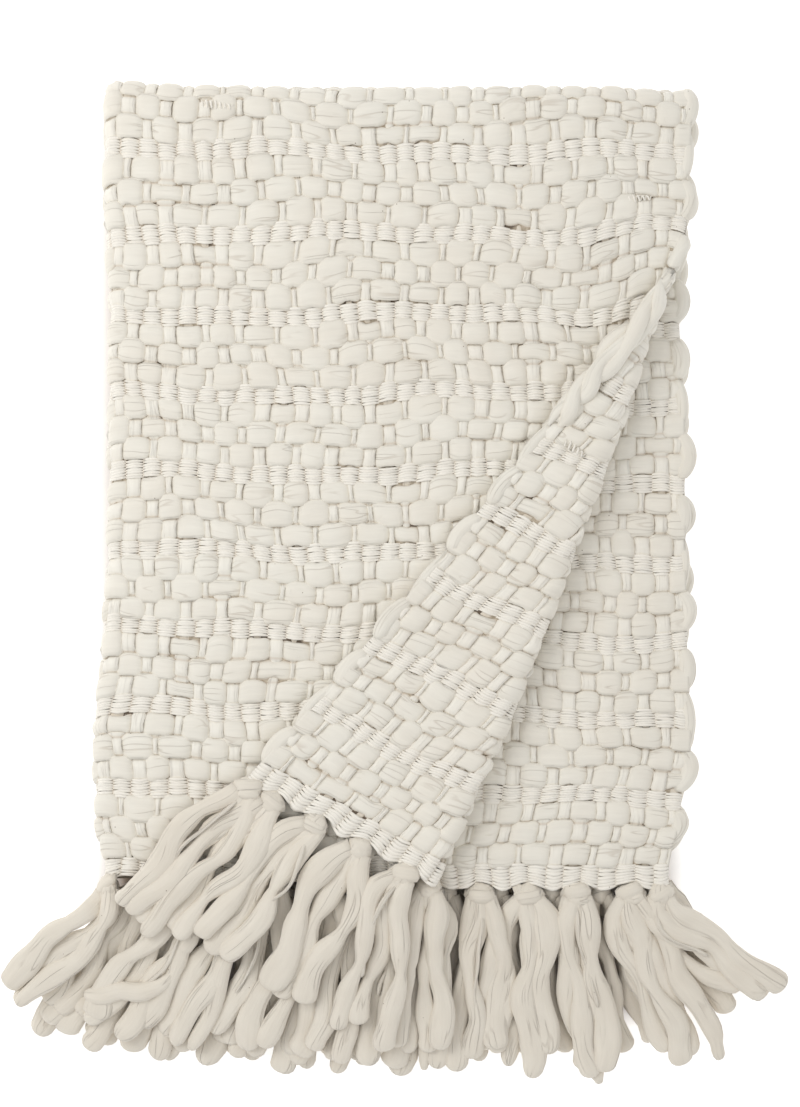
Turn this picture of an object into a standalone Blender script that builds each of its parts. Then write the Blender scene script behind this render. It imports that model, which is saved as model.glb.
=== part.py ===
"""A chunky hand-woven wool throw with a knotted fringe, folded in four and laid flat.

The cloth is folded lengthwise, then crosswise, so four layers lie on each other. The lower right
corner of the top layer is turned back on a diagonal. Every piece starts as a flat slab of cloth,
measured as (across, along, height), and place() carries each of its points through the folds.

Frame: metres, +Z up, origin on the floor under the folded cloth, +Y towards the folded end,
-Y towards the fringe.
"""

import math

import bmesh
import bpy
from mathutils import Vector

# The flat cloth
CLOTH_WIDTH = 1.25
CLOTH_LENGTH = 1.70
CLOTH_THICKNESS = 0.016
HALF_CLOTH = CLOTH_THICKNESS / 2
EDGE_HALF = 0.005

# The weave: bands of thin yarn lie lower than the three thick rows between them
BAND_GAPS = 20
END_BAND = 0.008
BAND_PITCH = (CLOTH_LENGTH - 2 * END_BAND) / BAND_GAPS
BAND_SHOULDER = 0.019
BAND_DIP = 0.0025
SCALLOP = 0.006

# The folds
LAYER_PITCH = 0.018
TURN_RADIUS = LAYER_PITCH / 2
TURN_HALF = TURN_RADIUS * math.pi / 2
STACK_MIDDLE = HALF_CLOTH + 1.5 * LAYER_PITCH
FOLD_X = -0.2955
CROSS_FOLD_Y = 0.4206
OUTER_EASE = 0.027
INNER_EASE = 0.020
CROSS_HALF = OUTER_EASE * math.pi / 2
TOP_LAYER_Z = STACK_MIDDLE + 1.5 * LAYER_PITCH

# The corner that is turned back over the top layer
FLAP_HEAD = Vector((0.277, 0.2256))
FLAP_FOOT = Vector((0.047, -0.3824))
FLAP_ALONG = (FLAP_FOOT - FLAP_HEAD).normalized()
FLAP_OUT = Vector((-FLAP_ALONG.y, FLAP_ALONG.x))
FLAP_RADIUS = 0.011
FLAP_ARC = FLAP_RADIUS * math.pi
FLAP_SHEAR = 0.25
FLAP_SETTLE = 0.06

# How far the side edges stray from straight: height up the cloth, left shift, right shift
SIDE_EDGES = (
    (-0.383, 0.004, -0.027),
    (-0.319, -0.003, -0.012),
    (-0.244, -0.011, -0.001),
    (-0.138, -0.003, 0.003),
    (-0.052, 0.003, 0.001),
    (0.087, 0.002, -0.001),
    (0.226, 0.007, -0.006),
    (0.333, -0.001, -0.002),
    (0.455, 0.000, -0.004),
)
# How far the folded end strays from straight: place across the cloth, shift
TOP_EDGE = (
    (-0.312, 0.000),
    (-0.210, -0.004),
    (-0.136, -0.010),
    (-0.071, -0.006),
    (0.057, -0.003),
    (0.217, -0.003),
    (0.312, -0.007),
)
TOP_EDGE_REACH = 0.20

# The fringe
TASSEL_PITCH = 0.0555
LAST_TASSEL_INSET = 0.0115
LEAST_PITCH = 0.028
SEAM_GAP = 0.0005
FLAP_SEAM_GAP = 0.0012
STRIP_WIDTH = 0.008
STRIP_HALF = 0.005
THREE_STRANDS = (-0.0105, -0.0040, -0.0030, 0.0030, 0.0040, 0.0105)
TWO_STRANDS = (-0.0080, -0.0010, 0.0010, 0.0080)
FRINGE_EDGE_Y = CROSS_FOLD_Y - CLOTH_LENGTH / 2 + CROSS_HALF
FRINGE_REACH = 0.20
STRAND_WIDTH = 0.0065
STRAND_HALF = 0.0065
TIP_HALF = 0.0045
TIP_CLEARANCE = 0.0025
FLAP_LEVEL = 4
FLAP_TASSEL = 7
BEND_LENGTH = 0.045
SPREAD = 9.0
SPREAD_LENGTH = 0.09
SPREAD_ROOM = 0.047
TIGHT_WIDTH = 0.82
FOLDED_RISE = 0.2
LOCK_WIDTH = 0.012
WAVE = 3.0

# A knot's sections: distance from the strip, half width as a share of the roots' reach, half height
KNOT_SECTIONS = (
    (0.006, 1.22, 0.0078),
    (0.022, 1.14, 0.0068),
)
# A strand's sections past the knot: distance, half width as a share of the widest
STRAND_SECTIONS = (
    (0.020, 0.78),
    (0.060, 1.00),
    (0.105, 0.92),
    (0.150, 1.00),
    (0.190, 0.55),
)

# Which way the tassels lie: tassel, angle from straight down towards the right, length share
TOP_LAYER_FAN = ((0, -44, 1.0), (2, -27, 1.0), (5, -8, 1.0), (6, -4, 1.0))
FLAP_FAN = ((7, -10, 1.0), (8, -26, 1.0), (9, -38, 1.0), (10, -42, 1.0), (11, -42, 1.0))
SECOND_LAYER_FAN = ((0, -34, 1.0), (5, -10, 1.0), (8, 0, 1.0), (9, 7, 1.0), (10, 18, 1.0), (11, 47, 1.0))
LOWER_LAYER_FAN = ((0, -28, 1.05), (4, -10, 1.0), (7, 2, 1.05), (9, 13, 1.0), (10, 34, 1.05))

# Each layer's fringe: node, half of the cloth, end of the cloth, layer counted from the floor,
# first tassel's distance from the lengthwise fold, strands' roots, how the tassels lie
FRINGES = (
    ("fringe_top_layer", 1, -1, 3, 0.0275, THREE_STRANDS, TOP_LAYER_FAN),
    ("fringe_second_layer", -1, -1, 2, 0.0255, THREE_STRANDS, SECOND_LAYER_FAN),
    ("fringe_third_layer", -1, 1, 1, 0.0450, TWO_STRANDS, LOWER_LAYER_FAN),
    ("fringe_bottom_layer", 1, 1, 0, 0.0380, TWO_STRANDS, LOWER_LAYER_FAN),
)

WOOL_COLOUR = (0.79, 0.76, 0.70, 1.0)
WOOL_ROUGHNESS = 0.9


def smooth(share):
    """An even rise from 0 to 1 with flat ends."""
    share = min(1.0, max(0.0, share))
    return share * share * (3 - 2 * share)


def from_table(rows, at, column):
    """Reads a column of a table between its rows, with an even rise from row to row."""
    if at <= rows[0][0]:
        return rows[0][column]
    for low, high in zip(rows, rows[1:]):
        if at <= high[0]:
            share = smooth((at - low[0]) / (high[0] - low[0]))
            return low[column] + share * (high[column] - low[column])
    return rows[-1][column]


def turn_back(x, y, height):
    """Carries a point of the top layer over the diagonal fold, if it lies past it."""
    past = (x - FLAP_FOOT.x) * FLAP_OUT.x + (y - FLAP_FOOT.y) * FLAP_OUT.y
    if past <= 0:
        return x, y, TOP_LAYER_Z + height
    angle = min(past / FLAP_RADIUS, math.pi)
    back = max(0.0, past - FLAP_ARC)
    radius = FLAP_RADIUS - height
    across = radius * math.sin(angle) - back - past
    along = FLAP_SHEAR * past
    x += across * FLAP_OUT.x + along * FLAP_ALONG.x
    y += across * FLAP_OUT.y + along * FLAP_ALONG.y
    settled = (2 * FLAP_RADIUS - LAYER_PITCH) * smooth(back / FLAP_SETTLE)
    return x, y, TOP_LAYER_Z + FLAP_RADIUS - radius * math.cos(angle) - settled


def stray(x, y, z):
    """Moves a point as the whole pile strays from a neat block: wavy sides, a soft top, low rims."""
    share = (x + CLOTH_WIDTH / 4) / (CLOTH_WIDTH / 2)
    share = min(1.1, max(-0.1, share))
    left = from_table(SIDE_EDGES, y, 1)
    right = from_table(SIDE_EDGES, y, 2)
    moved_x = x + left + (right - left) * share
    moved_y = y + from_table(TOP_EDGE, x, 1) * smooth((y - CROSS_FOLD_Y) / TOP_EDGE_REACH + 1)
    rim = smooth((abs(x) - 0.22) / 0.10)
    swell = 0.03 * math.sin(9 * x + 1.3) * math.sin(8 * y + 0.6)
    return Vector((moved_x, moved_y, z * (1.0 - 0.08 * rim + swell)))


def place(across, along, height):
    """Where a point of the flat cloth lies once the throw is folded.

    across is 0 at the lengthwise fold and grows towards the top layer's free edge; along is 0 at
    the crosswise fold and -CLOTH_LENGTH / 2 at the fringe of the two upper layers; height is
    measured from the cloth's middle towards the outside of the pile.
    """
    turn = max(-math.pi / 2, min(math.pi / 2, across / TURN_RADIUS))
    x = FOLD_X - (TURN_RADIUS + height) * math.cos(turn) + max(0.0, abs(across) - TURN_HALF)
    radius = LAYER_PITCH + (TURN_RADIUS + height) * math.sin(turn)
    ease = (OUTER_EASE + INNER_EASE) / 2 + (OUTER_EASE - INNER_EASE) / 2 * math.sin(turn)
    lean = max(-math.pi / 2, min(math.pi / 2, along / ease))
    y = CROSS_FOLD_Y + radius * math.cos(lean) - max(0.0, abs(along) - ease * math.pi / 2)
    z = STACK_MIDDLE - radius * math.sin(lean)
    if across >= TURN_HALF and along <= -CROSS_HALF:
        x, y, z = turn_back(x, y, height)
    return stray(x, y, z)


def near_band(along):
    """1 in the middle of a band of thin yarn, 0 past its shoulders."""
    place_in = (along + CLOTH_LENGTH / 2 - END_BAND) / BAND_PITCH
    distance = abs(place_in - round(place_in)) * BAND_PITCH
    return max(0.0, 1 - distance / BAND_SHOULDER)


def slab(width, length, thickness, middle=(0.0, 0.0)):
    """A flat box of cloth in (across, along, height)."""
    mesh = bmesh.new()
    bmesh.ops.create_cube(mesh, size=1.0)
    for vert in mesh.verts:
        vert.co = Vector(
            (
                middle[0] + vert.co.x * width,
                middle[1] + vert.co.y * length,
                vert.co.z * thickness,
            )
        )
    return mesh


def crease(mesh, point, normal, faces=None):
    """Cuts new edges into the slab where a line crosses it."""
    faces = list(faces if faces is not None else mesh.faces)
    edges = list(dict.fromkeys(edge for face in faces for edge in face.edges))
    verts = list(dict.fromkeys(vert for face in faces for vert in face.verts))
    bmesh.ops.bisect_plane(
        mesh,
        geom=faces + edges + verts,
        plane_co=(point[0], point[1], 0.0),
        plane_no=(normal[0], normal[1], 0.0),
        dist=1e-6,
    )


def crease_flap(mesh):
    """Cuts the top layer's part of the slab where its corner turns back."""
    flat_of_layer = Vector((TURN_HALF - FOLD_X, -CROSS_HALF - CROSS_FOLD_Y))
    steps = 6
    lines = [FLAP_ARC * step / steps for step in range(steps + 1)]
    for line in lines + [FLAP_ARC + FLAP_SETTLE]:
        point = FLAP_FOOT + flat_of_layer + FLAP_OUT * line
        top_layer = []
        for face in mesh.faces:
            middle = face.calc_center_median()
            if middle.x > TURN_HALF and middle.y < -CROSS_HALF:
                top_layer.append(face)
        crease(mesh, point, FLAP_OUT, top_layer)


def across_lines():
    """Where the cloth bends or may stray, across its width."""
    fold_steps = 3
    lines = [TURN_HALF * step / fold_steps for step in range(-fold_steps, fold_steps + 1)]
    columns = 5
    rim = 0.012
    reach = CLOTH_WIDTH / 2 - rim
    for step in range(1, columns + 1):
        line = TURN_HALF + (reach - TURN_HALF) * step / columns
        lines += [line, -line]
    return lines


def along_lines():
    """Where the cloth bends or dips, along its length."""
    fold_steps = 4
    lines = [CROSS_HALF * step / fold_steps for step in range(-fold_steps, fold_steps + 1)]
    for band in range(BAND_GAPS + 1):
        middle = band * BAND_PITCH + END_BAND - CLOTH_LENGTH / 2
        for line in (middle - BAND_SHOULDER, middle, middle + BAND_SHOULDER):
            if CROSS_HALF * 1.1 < abs(line) < CLOTH_LENGTH / 2:
                lines.append(line)
    return lines


def add_object(name, mesh, material, collection):
    """Turns a finished bmesh into a named object."""
    bmesh.ops.recalc_face_normals(mesh, faces=mesh.faces)
    data = bpy.data.meshes.new(name)
    mesh.to_mesh(data)
    mesh.free()
    data.materials.append(material)
    data.shade_smooth()
    obj = bpy.data.objects.new(name, data)
    collection.objects.link(obj)
    return obj


def make_cloth(material, collection):
    """The folded cloth: one slab, creased at its folds, bands and edges, then folded."""
    mesh = slab(CLOTH_WIDTH, CLOTH_LENGTH, CLOTH_THICKNESS)
    for line in across_lines():
        crease(mesh, (line, 0.0), (1.0, 0.0))
    for line in along_lines():
        crease(mesh, (0.0, line), (0.0, 1.0))
    crease_flap(mesh)
    tolerance = 1e-5
    for vert in mesh.verts:
        across, along, height = vert.co
        half = HALF_CLOTH - BAND_DIP * near_band(along)
        at_side = abs(across) > CLOTH_WIDTH / 2 - tolerance
        at_end = abs(along) > CLOTH_LENGTH / 2 - tolerance
        if at_side or at_end:
            half = EDGE_HALF
        if at_side:
            across += math.copysign(SCALLOP * (1 - 1.5 * near_band(along)), across)
        vert.co = place(across, along, math.copysign(half, height))
    return add_object("throw_cloth", mesh, material, collection)


class Section:
    """A cross-section of a strand or knot: its middle, and its half width and half height."""

    def __init__(self, middle, across, up):
        self.middle = middle
        self.across = across
        self.up = up

    def local(self, point):
        """A point's place in the section, in half widths and half heights."""
        offset = point - self.middle
        return (
            offset.dot(self.across) / self.across.length_squared,
            offset.dot(self.up) / self.up.length_squared,
        )

    def point(self, side, lift):
        """The point at that place in the section."""
        return self.middle + self.across * side + self.up * lift


def carry(verts, old, new, roundness=0.0):
    """Moves points from one section to the same places in the next, rounding a flat top if asked."""
    for vert in verts:
        side, lift = old.local(vert.co)
        vert.co = new.point(side, lift * (1 - roundness * side * side))


def settled_height(layer, y):
    """(middle height, half height) of a strand of that layer, counted up from the floor."""
    share = smooth((FRINGE_EDGE_Y - y) / FRINGE_REACH)
    half = STRAND_HALF + (TIP_HALF - STRAND_HALF) * share
    root = HALF_CLOTH + LAYER_PITCH * layer
    tip = TIP_HALF + (2 * TIP_HALF + TIP_CLEARANCE) * layer
    middle = root + (tip - root) * share
    if layer == 0:
        middle = half
    return middle, half


def strand_sections(root, start, angles, width, layer, length, wave):
    """The sections of one strand, which bends from the knot's way to its own and lies level."""
    first_angle, angle, spread = angles
    sections = []
    position = start.copy()
    travelled = 0.0
    for distance, share in STRAND_SECTIONS:
        step = distance * length - travelled
        halfway = travelled + step / 2
        heading = first_angle + (angle - first_angle) * smooth(halfway / BEND_LENGTH)
        heading += spread * (1 - smooth(halfway / SPREAD_LENGTH))
        heading += math.radians(WAVE) * math.sin(wave + distance * 32.0)
        position = position + Vector((math.sin(heading), -math.cos(heading), 0.0)) * step
        travelled = distance * length
        middle_z, half = settled_height(layer, position.y)
        wide = Vector((math.cos(heading), math.sin(heading), 0.0)) * width * share
        tall = Vector((0.0, 0.0, half))
        on_edge = abs(root.across.z) > abs(root.up.z)
        across, up = (tall, wide) if on_edge else (wide, tall)
        across = across if across.dot(root.across) > 0 else -across
        up = up if up.dot(root.up) > 0 else -up
        sections.append(Section(Vector((position.x, position.y, middle_z)), across, up))
    return sections


def root_section(across, along, end):
    """The section of a tassel at the strip, and the way it leaves it."""
    reach = 0.002
    middle = place(across, along, 0.0)
    side = place(across + reach, along, 0.0) - place(across - reach, along, 0.0)
    up = place(across, along, reach) - place(across, along, -reach)
    away = place(across, along + end * reach, 0.0) - place(across, along - end * reach, 0.0)
    return Section(middle, side.normalized(), up.normalized()), away.normalized()


def draw_out(mesh, faces, old, new, roundness=0.0):
    """Draws faces out from one section to the next and gives the new end faces."""
    edges = list(dict.fromkeys(edge for face in faces for edge in face.edges))
    made = bmesh.ops.extrude_face_region(mesh, geom=faces + edges)["geom"]
    verts = [item for item in made if isinstance(item, bmesh.types.BMVert)]
    carry(verts, old, new, roundness)
    return [item for item in made if isinstance(item, bmesh.types.BMFace)]


def grow_strand(mesh, faces, root, away, layer, angle, spread, width, length, wave):
    """Draws one strand out of its root faces."""
    corners = list(dict.fromkeys(vert for face in faces for vert in face.verts))
    places = [root.local(vert.co) for vert in corners]
    sides = [side for side, _ in places]
    lifts = [lift for _, lift in places]
    half_side = (max(sides) - min(sides)) / 2
    half_lift = (max(lifts) - min(lifts)) / 2
    depth = sum((vert.co - root.middle).dot(away) for vert in corners) / len(corners)
    start = root.point((max(sides) + min(sides)) / 2, (max(lifts) + min(lifts)) / 2) + away * depth
    old = Section(start, root.across * half_side, root.up * half_lift)
    angles = (math.atan2(away.x, -away.y), angle, spread)
    for new in strand_sections(root, start, angles, width, layer, length, wave):
        faces = draw_out(mesh, faces, old, new)
        old = new


def grow_tassel(mesh, faces, root, away, roots, layer, angle, room, length, wave):
    """A tassel: a knot drawn out of the strip, then its strands side by side.

    With little room to the next tassel the outer strands are thinner and don't spread, and there
    is none between them. On the diagonal fold the tassel stays one broad lock.
    """
    reach = roots[-1]
    old = Section(root.middle, root.across * reach, root.up * STRIP_HALF)
    roundness = 0.45
    for distance, share, half_height in KNOT_SECTIONS:
        middle = root.middle + away * distance
        new = Section(middle, root.across * reach * share, root.up * half_height)
        faces = draw_out(mesh, faces, old, new, roundness)
        roundness = 0.0
        old = new
    room *= math.cos(angle - math.atan2(away.x, -away.y))
    tight = room < SPREAD_ROOM
    width = STRAND_WIDTH * (TIGHT_WIDTH if tight else 1.0)
    sideways = Vector((math.cos(angle), math.sin(angle), 0.0))
    outward = 1 if sideways.dot(root.across) > 0 else -1
    sides = {face: old.local(face.calc_center_median())[0] * reach for face in faces}
    if abs(root.across.z) > FOLDED_RISE:
        grow_strand(mesh, faces, root, away, layer, angle, 0.0, LOCK_WIDTH, length, wave)
        return
    for low, high in zip(roots[::2], roots[1::2]):
        strand = [face for face, side in sides.items() if low < side < high]
        place_in = (low + high) / (roots[-1] + roots[-2])
        if tight and abs(place_in) < 0.5:
            continue
        spread = 0.0 if tight else math.radians(SPREAD) * place_in * outward
        own_wave = wave + place_in * 0.4
        grow_strand(mesh, strand, root, away, layer, angle, spread, width, length, own_wave)


def make_fringe(name, side, end, layer, start, roots, fan, material, collection):
    """One layer's fringe: a narrow strip along the cloth's edge, with its tassels fused to it.

    side is 1 for the half of the cloth towards the top layer's free edge and -1 for the other;
    end is -1 for the upper fringe and 1 for the lower.
    """
    on_top = side > 0 > end
    inner = CLOTH_LENGTH / 2 + (FLAP_SEAM_GAP if on_top else SEAM_GAP)
    outer = inner + STRIP_WIDTH
    low = TURN_HALF
    high = CLOTH_WIDTH / 2
    middle = (side * (low + high) / 2, end * (inner + outer) / 2)
    mesh = slab(high - low, STRIP_WIDTH, 2 * STRIP_HALF, middle)
    last = high - LAST_TASSEL_INSET
    before_last = int((last - LEAST_PITCH - start) / TASSEL_PITCH) + 1
    centres = [side * (start + number * TASSEL_PITCH) for number in range(before_last)]
    centres.append(side * last)
    for centre in centres:
        for root in roots:
            crease(mesh, (centre + root, 0.0), (1.0, 0.0))
    if on_top:
        crease_flap(mesh)
    groups = [[] for _ in centres]
    for face in mesh.faces:
        if abs(face.calc_center_median().y - end * outer) < 1e-5:
            for number, centre in enumerate(centres):
                if abs(face.calc_center_median().x - centre) < roots[-1]:
                    groups[number].append(face)
    for vert in mesh.verts:
        vert.co = place(*vert.co)
    for number, (centre, faces) in enumerate(zip(centres, groups)):
        turned = on_top and number >= FLAP_TASSEL
        level = FLAP_LEVEL if turned else layer
        table = FLAP_FAN if turned else fan
        angle = math.radians(from_table(table, number, 1))
        length = from_table(table, number, 2)
        room = min(abs(centre - other) for other in centres if other != centre)
        root, away = root_section(centre, end * outer, end)
        grow_tassel(mesh, faces, root, away, roots, level, angle, room, length, number * 1.7)
    return add_object(name, mesh, material, collection)


def wool():
    """Undyed off-white wool."""
    material = bpy.data.materials.new("wool")
    material.use_nodes = True
    shader = material.node_tree.nodes["Principled BSDF"]
    shader.inputs["Base Color"].default_value = WOOL_COLOUR
    shader.inputs["Roughness"].default_value = WOOL_ROUGHNESS
    shader.inputs["Metallic"].default_value = 0.0
    return material


def main():
    """Clears the scene and builds the cloth and its four fringes."""
    for obj in list(bpy.data.objects):
        bpy.data.objects.remove(obj)
    collection = bpy.data.collections.new("wool_throw")
    bpy.context.scene.collection.children.link(collection)
    material = wool()
    make_cloth(material, collection)
    for fringe in FRINGES:
        make_fringe(*fringe, material, collection)


main()
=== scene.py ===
"""The looks of a chunky hand-woven wool throw, folded in four with one corner turned back.

Every yarn of the cloth is a tube. It is laid out on the flat cloth in (across, along, height) and
carried through the folds by Folds.place, in the same way as the solids. The fringe's knots and
strands start from the folded cloth's edge and settle on what lies under them.

Sizes are in metres, or in millimetres where a field's name ends in _mm.
"""

import logging
import math
from collections.abc import Callable, Sequence
from dataclasses import dataclass, field
from enum import Enum
from functools import partial

import bpy
import numpy as np
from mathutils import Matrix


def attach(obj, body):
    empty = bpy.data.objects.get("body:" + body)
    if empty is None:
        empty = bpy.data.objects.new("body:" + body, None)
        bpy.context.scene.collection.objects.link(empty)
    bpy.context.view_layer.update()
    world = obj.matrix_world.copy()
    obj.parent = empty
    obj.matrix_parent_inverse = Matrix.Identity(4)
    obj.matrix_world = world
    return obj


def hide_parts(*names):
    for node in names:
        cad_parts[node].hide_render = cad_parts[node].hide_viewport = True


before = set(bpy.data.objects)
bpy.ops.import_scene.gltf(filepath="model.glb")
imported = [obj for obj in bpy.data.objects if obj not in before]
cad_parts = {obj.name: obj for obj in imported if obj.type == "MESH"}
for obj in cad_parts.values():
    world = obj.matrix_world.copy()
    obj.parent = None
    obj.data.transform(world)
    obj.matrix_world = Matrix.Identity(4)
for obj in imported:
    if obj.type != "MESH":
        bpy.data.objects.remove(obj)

LOG = logging.getLogger("wool_throw")
MM = 0.001
FULL_TURN = 2 * math.pi
QUARTER_TURN = math.pi / 2
UP = np.array((0.0, 0.0, 1.0))

Numbers = np.ndarray | float
Value = float | tuple | bpy.types.NodeSocket


def smooth(share: Numbers) -> np.ndarray:
    """An even rise from 0 to 1 with flat ends.

    Args:
        share: Values, of which those outside 0 to 1 count as 0 or 1.

    Returns:
        An array of the same shape.
    """
    share = np.clip(share, 0.0, 1.0)
    return share * share * (3 - 2 * share)


def from_table(rows: tuple, at: Numbers, column: int) -> np.ndarray:
    """Reads a column of a table between its rows, with an even rise from row to row.

    Args:
        rows: Rows of numbers in rising order of their first number.
        at: Where to read it. Past the ends the first or last row holds.
        column: Which number of the row to read.

    Returns:
        The values at those places.
    """
    table = np.asarray(rows, dtype=float)
    at = np.asarray(at, dtype=float)
    number = np.clip(np.searchsorted(table[:, 0], at, side="right") - 1, 0, len(table) - 2)
    low, high = table[number], table[number + 1]
    share = smooth((at - low[..., 0]) / (high[..., 0] - low[..., 0]))
    return low[..., column] + share * (high[..., column] - low[..., column])


def unit(vectors: np.ndarray) -> np.ndarray:
    """The same directions as vectors of length one, along the last axis."""
    return vectors / np.maximum(np.linalg.norm(vectors, axis=-1, keepdims=True), 1e-6)


def phase(rng: np.random.Generator) -> float:
    """Draws where a wave begins."""
    return rng.uniform(0, 6.28)


def outline(around: int, squareness: float) -> tuple[np.ndarray, np.ndarray]:
    """The outline of a squashed yarn, as a circle with flattened sides.

    Args:
        around: How many points.
        squareness: 1 for a circle, less for a squarer outline.

    Returns:
        Sideways and upward numbers from -1 to 1, one for each point.
    """
    angle = FULL_TURN * (np.arange(around) + 0.5) / around
    side, lift = np.cos(angle), np.sin(angle)
    return np.sign(side) * np.abs(side) ** squareness, np.sign(lift) * np.abs(lift) ** squareness


def woven_unshaded_share(height: np.ndarray, hidden_mm: float, span_mm: float) -> np.ndarray:
    """How far points of a woven yarn stand out of the cloth; where they sink into it, the finish paints
    shade on them.

    Args:
        height: Their distance from the cloth's middle.
        hidden_mm: The distance up to which they count as hidden.
        span_mm: How much further out they count as fully clear.

    Returns:
        Values from 0 to 1.
    """
    return np.clip((np.abs(height) - hidden_mm * MM) / (span_mm * MM), 0, 1)


def loose_unshaded_share(lift: np.ndarray) -> np.ndarray:
    """How open the points of a loose yarn lie, from 0 to 1, where lift is 1 on its upper side; the
    finish paints shade on the underside.
    """
    return np.clip(0.62 + 0.5 * lift, 0, 1)


def add_object(name: str, data: bpy.types.ID) -> bpy.types.Object:
    """Puts a mesh, light or camera into the scene.

    Args:
        name: The object's name.
        data: What it holds.

    Returns:
        The new object.
    """
    thing = bpy.data.objects.new(name, data)
    bpy.context.scene.collection.objects.link(thing)
    return thing


def finish_piece(mesh: bpy.types.Mesh, material: bpy.types.Material) -> bpy.types.Object:
    """Makes a mesh into a smooth, dressed piece of the throw, riding on the cloth's body.

    Args:
        mesh: Its mesh, which has the piece's name.
        material: Its finish.

    Returns:
        The new object.
    """
    mesh.update(calc_edges=True)
    mesh.validate()
    mesh.shade_smooth()
    mesh.materials.append(material)
    piece = add_object(mesh.name, mesh)
    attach(piece, "root")
    LOG.info("%s: %d triangles", mesh.name, len(mesh.loops) - 2 * len(mesh.polygons))
    return piece


class Wander:
    """Smooth seeded noise from -1 to 1 along one direction, with a row of it for each yarn."""

    SIZE = 257

    def __init__(self, seed: int) -> None:
        """Draws the values from a seed."""
        self.values = np.random.default_rng(seed).uniform(-1.0, 1.0, (self.SIZE, self.SIZE))

    def at(self, yarn: np.ndarray, place: np.ndarray) -> np.ndarray:
        """Noise of a yarn at a place, where a whole step lies between independent values.

        Args:
            yarn: Whole numbers, one for each yarn.
            place: Places along it, of a shape that fits the yarns'.

        Returns:
            Values from -1 to 1.
        """
        low = np.floor(place).astype(int)
        share = smooth(place - low)
        row = np.asarray(yarn, dtype=int) % self.SIZE
        here = self.values[row, low % self.SIZE]
        there = self.values[row, (low + 1) % self.SIZE]
        return here + (there - here) * share

    def tones(self, yarns: np.ndarray, step: float) -> np.ndarray:
        """A shade from 0 to 1 for each yarn, read a step further on from one yarn to the next."""
        return (self.at(yarns, yarns * step) + 1) / 2


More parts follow.
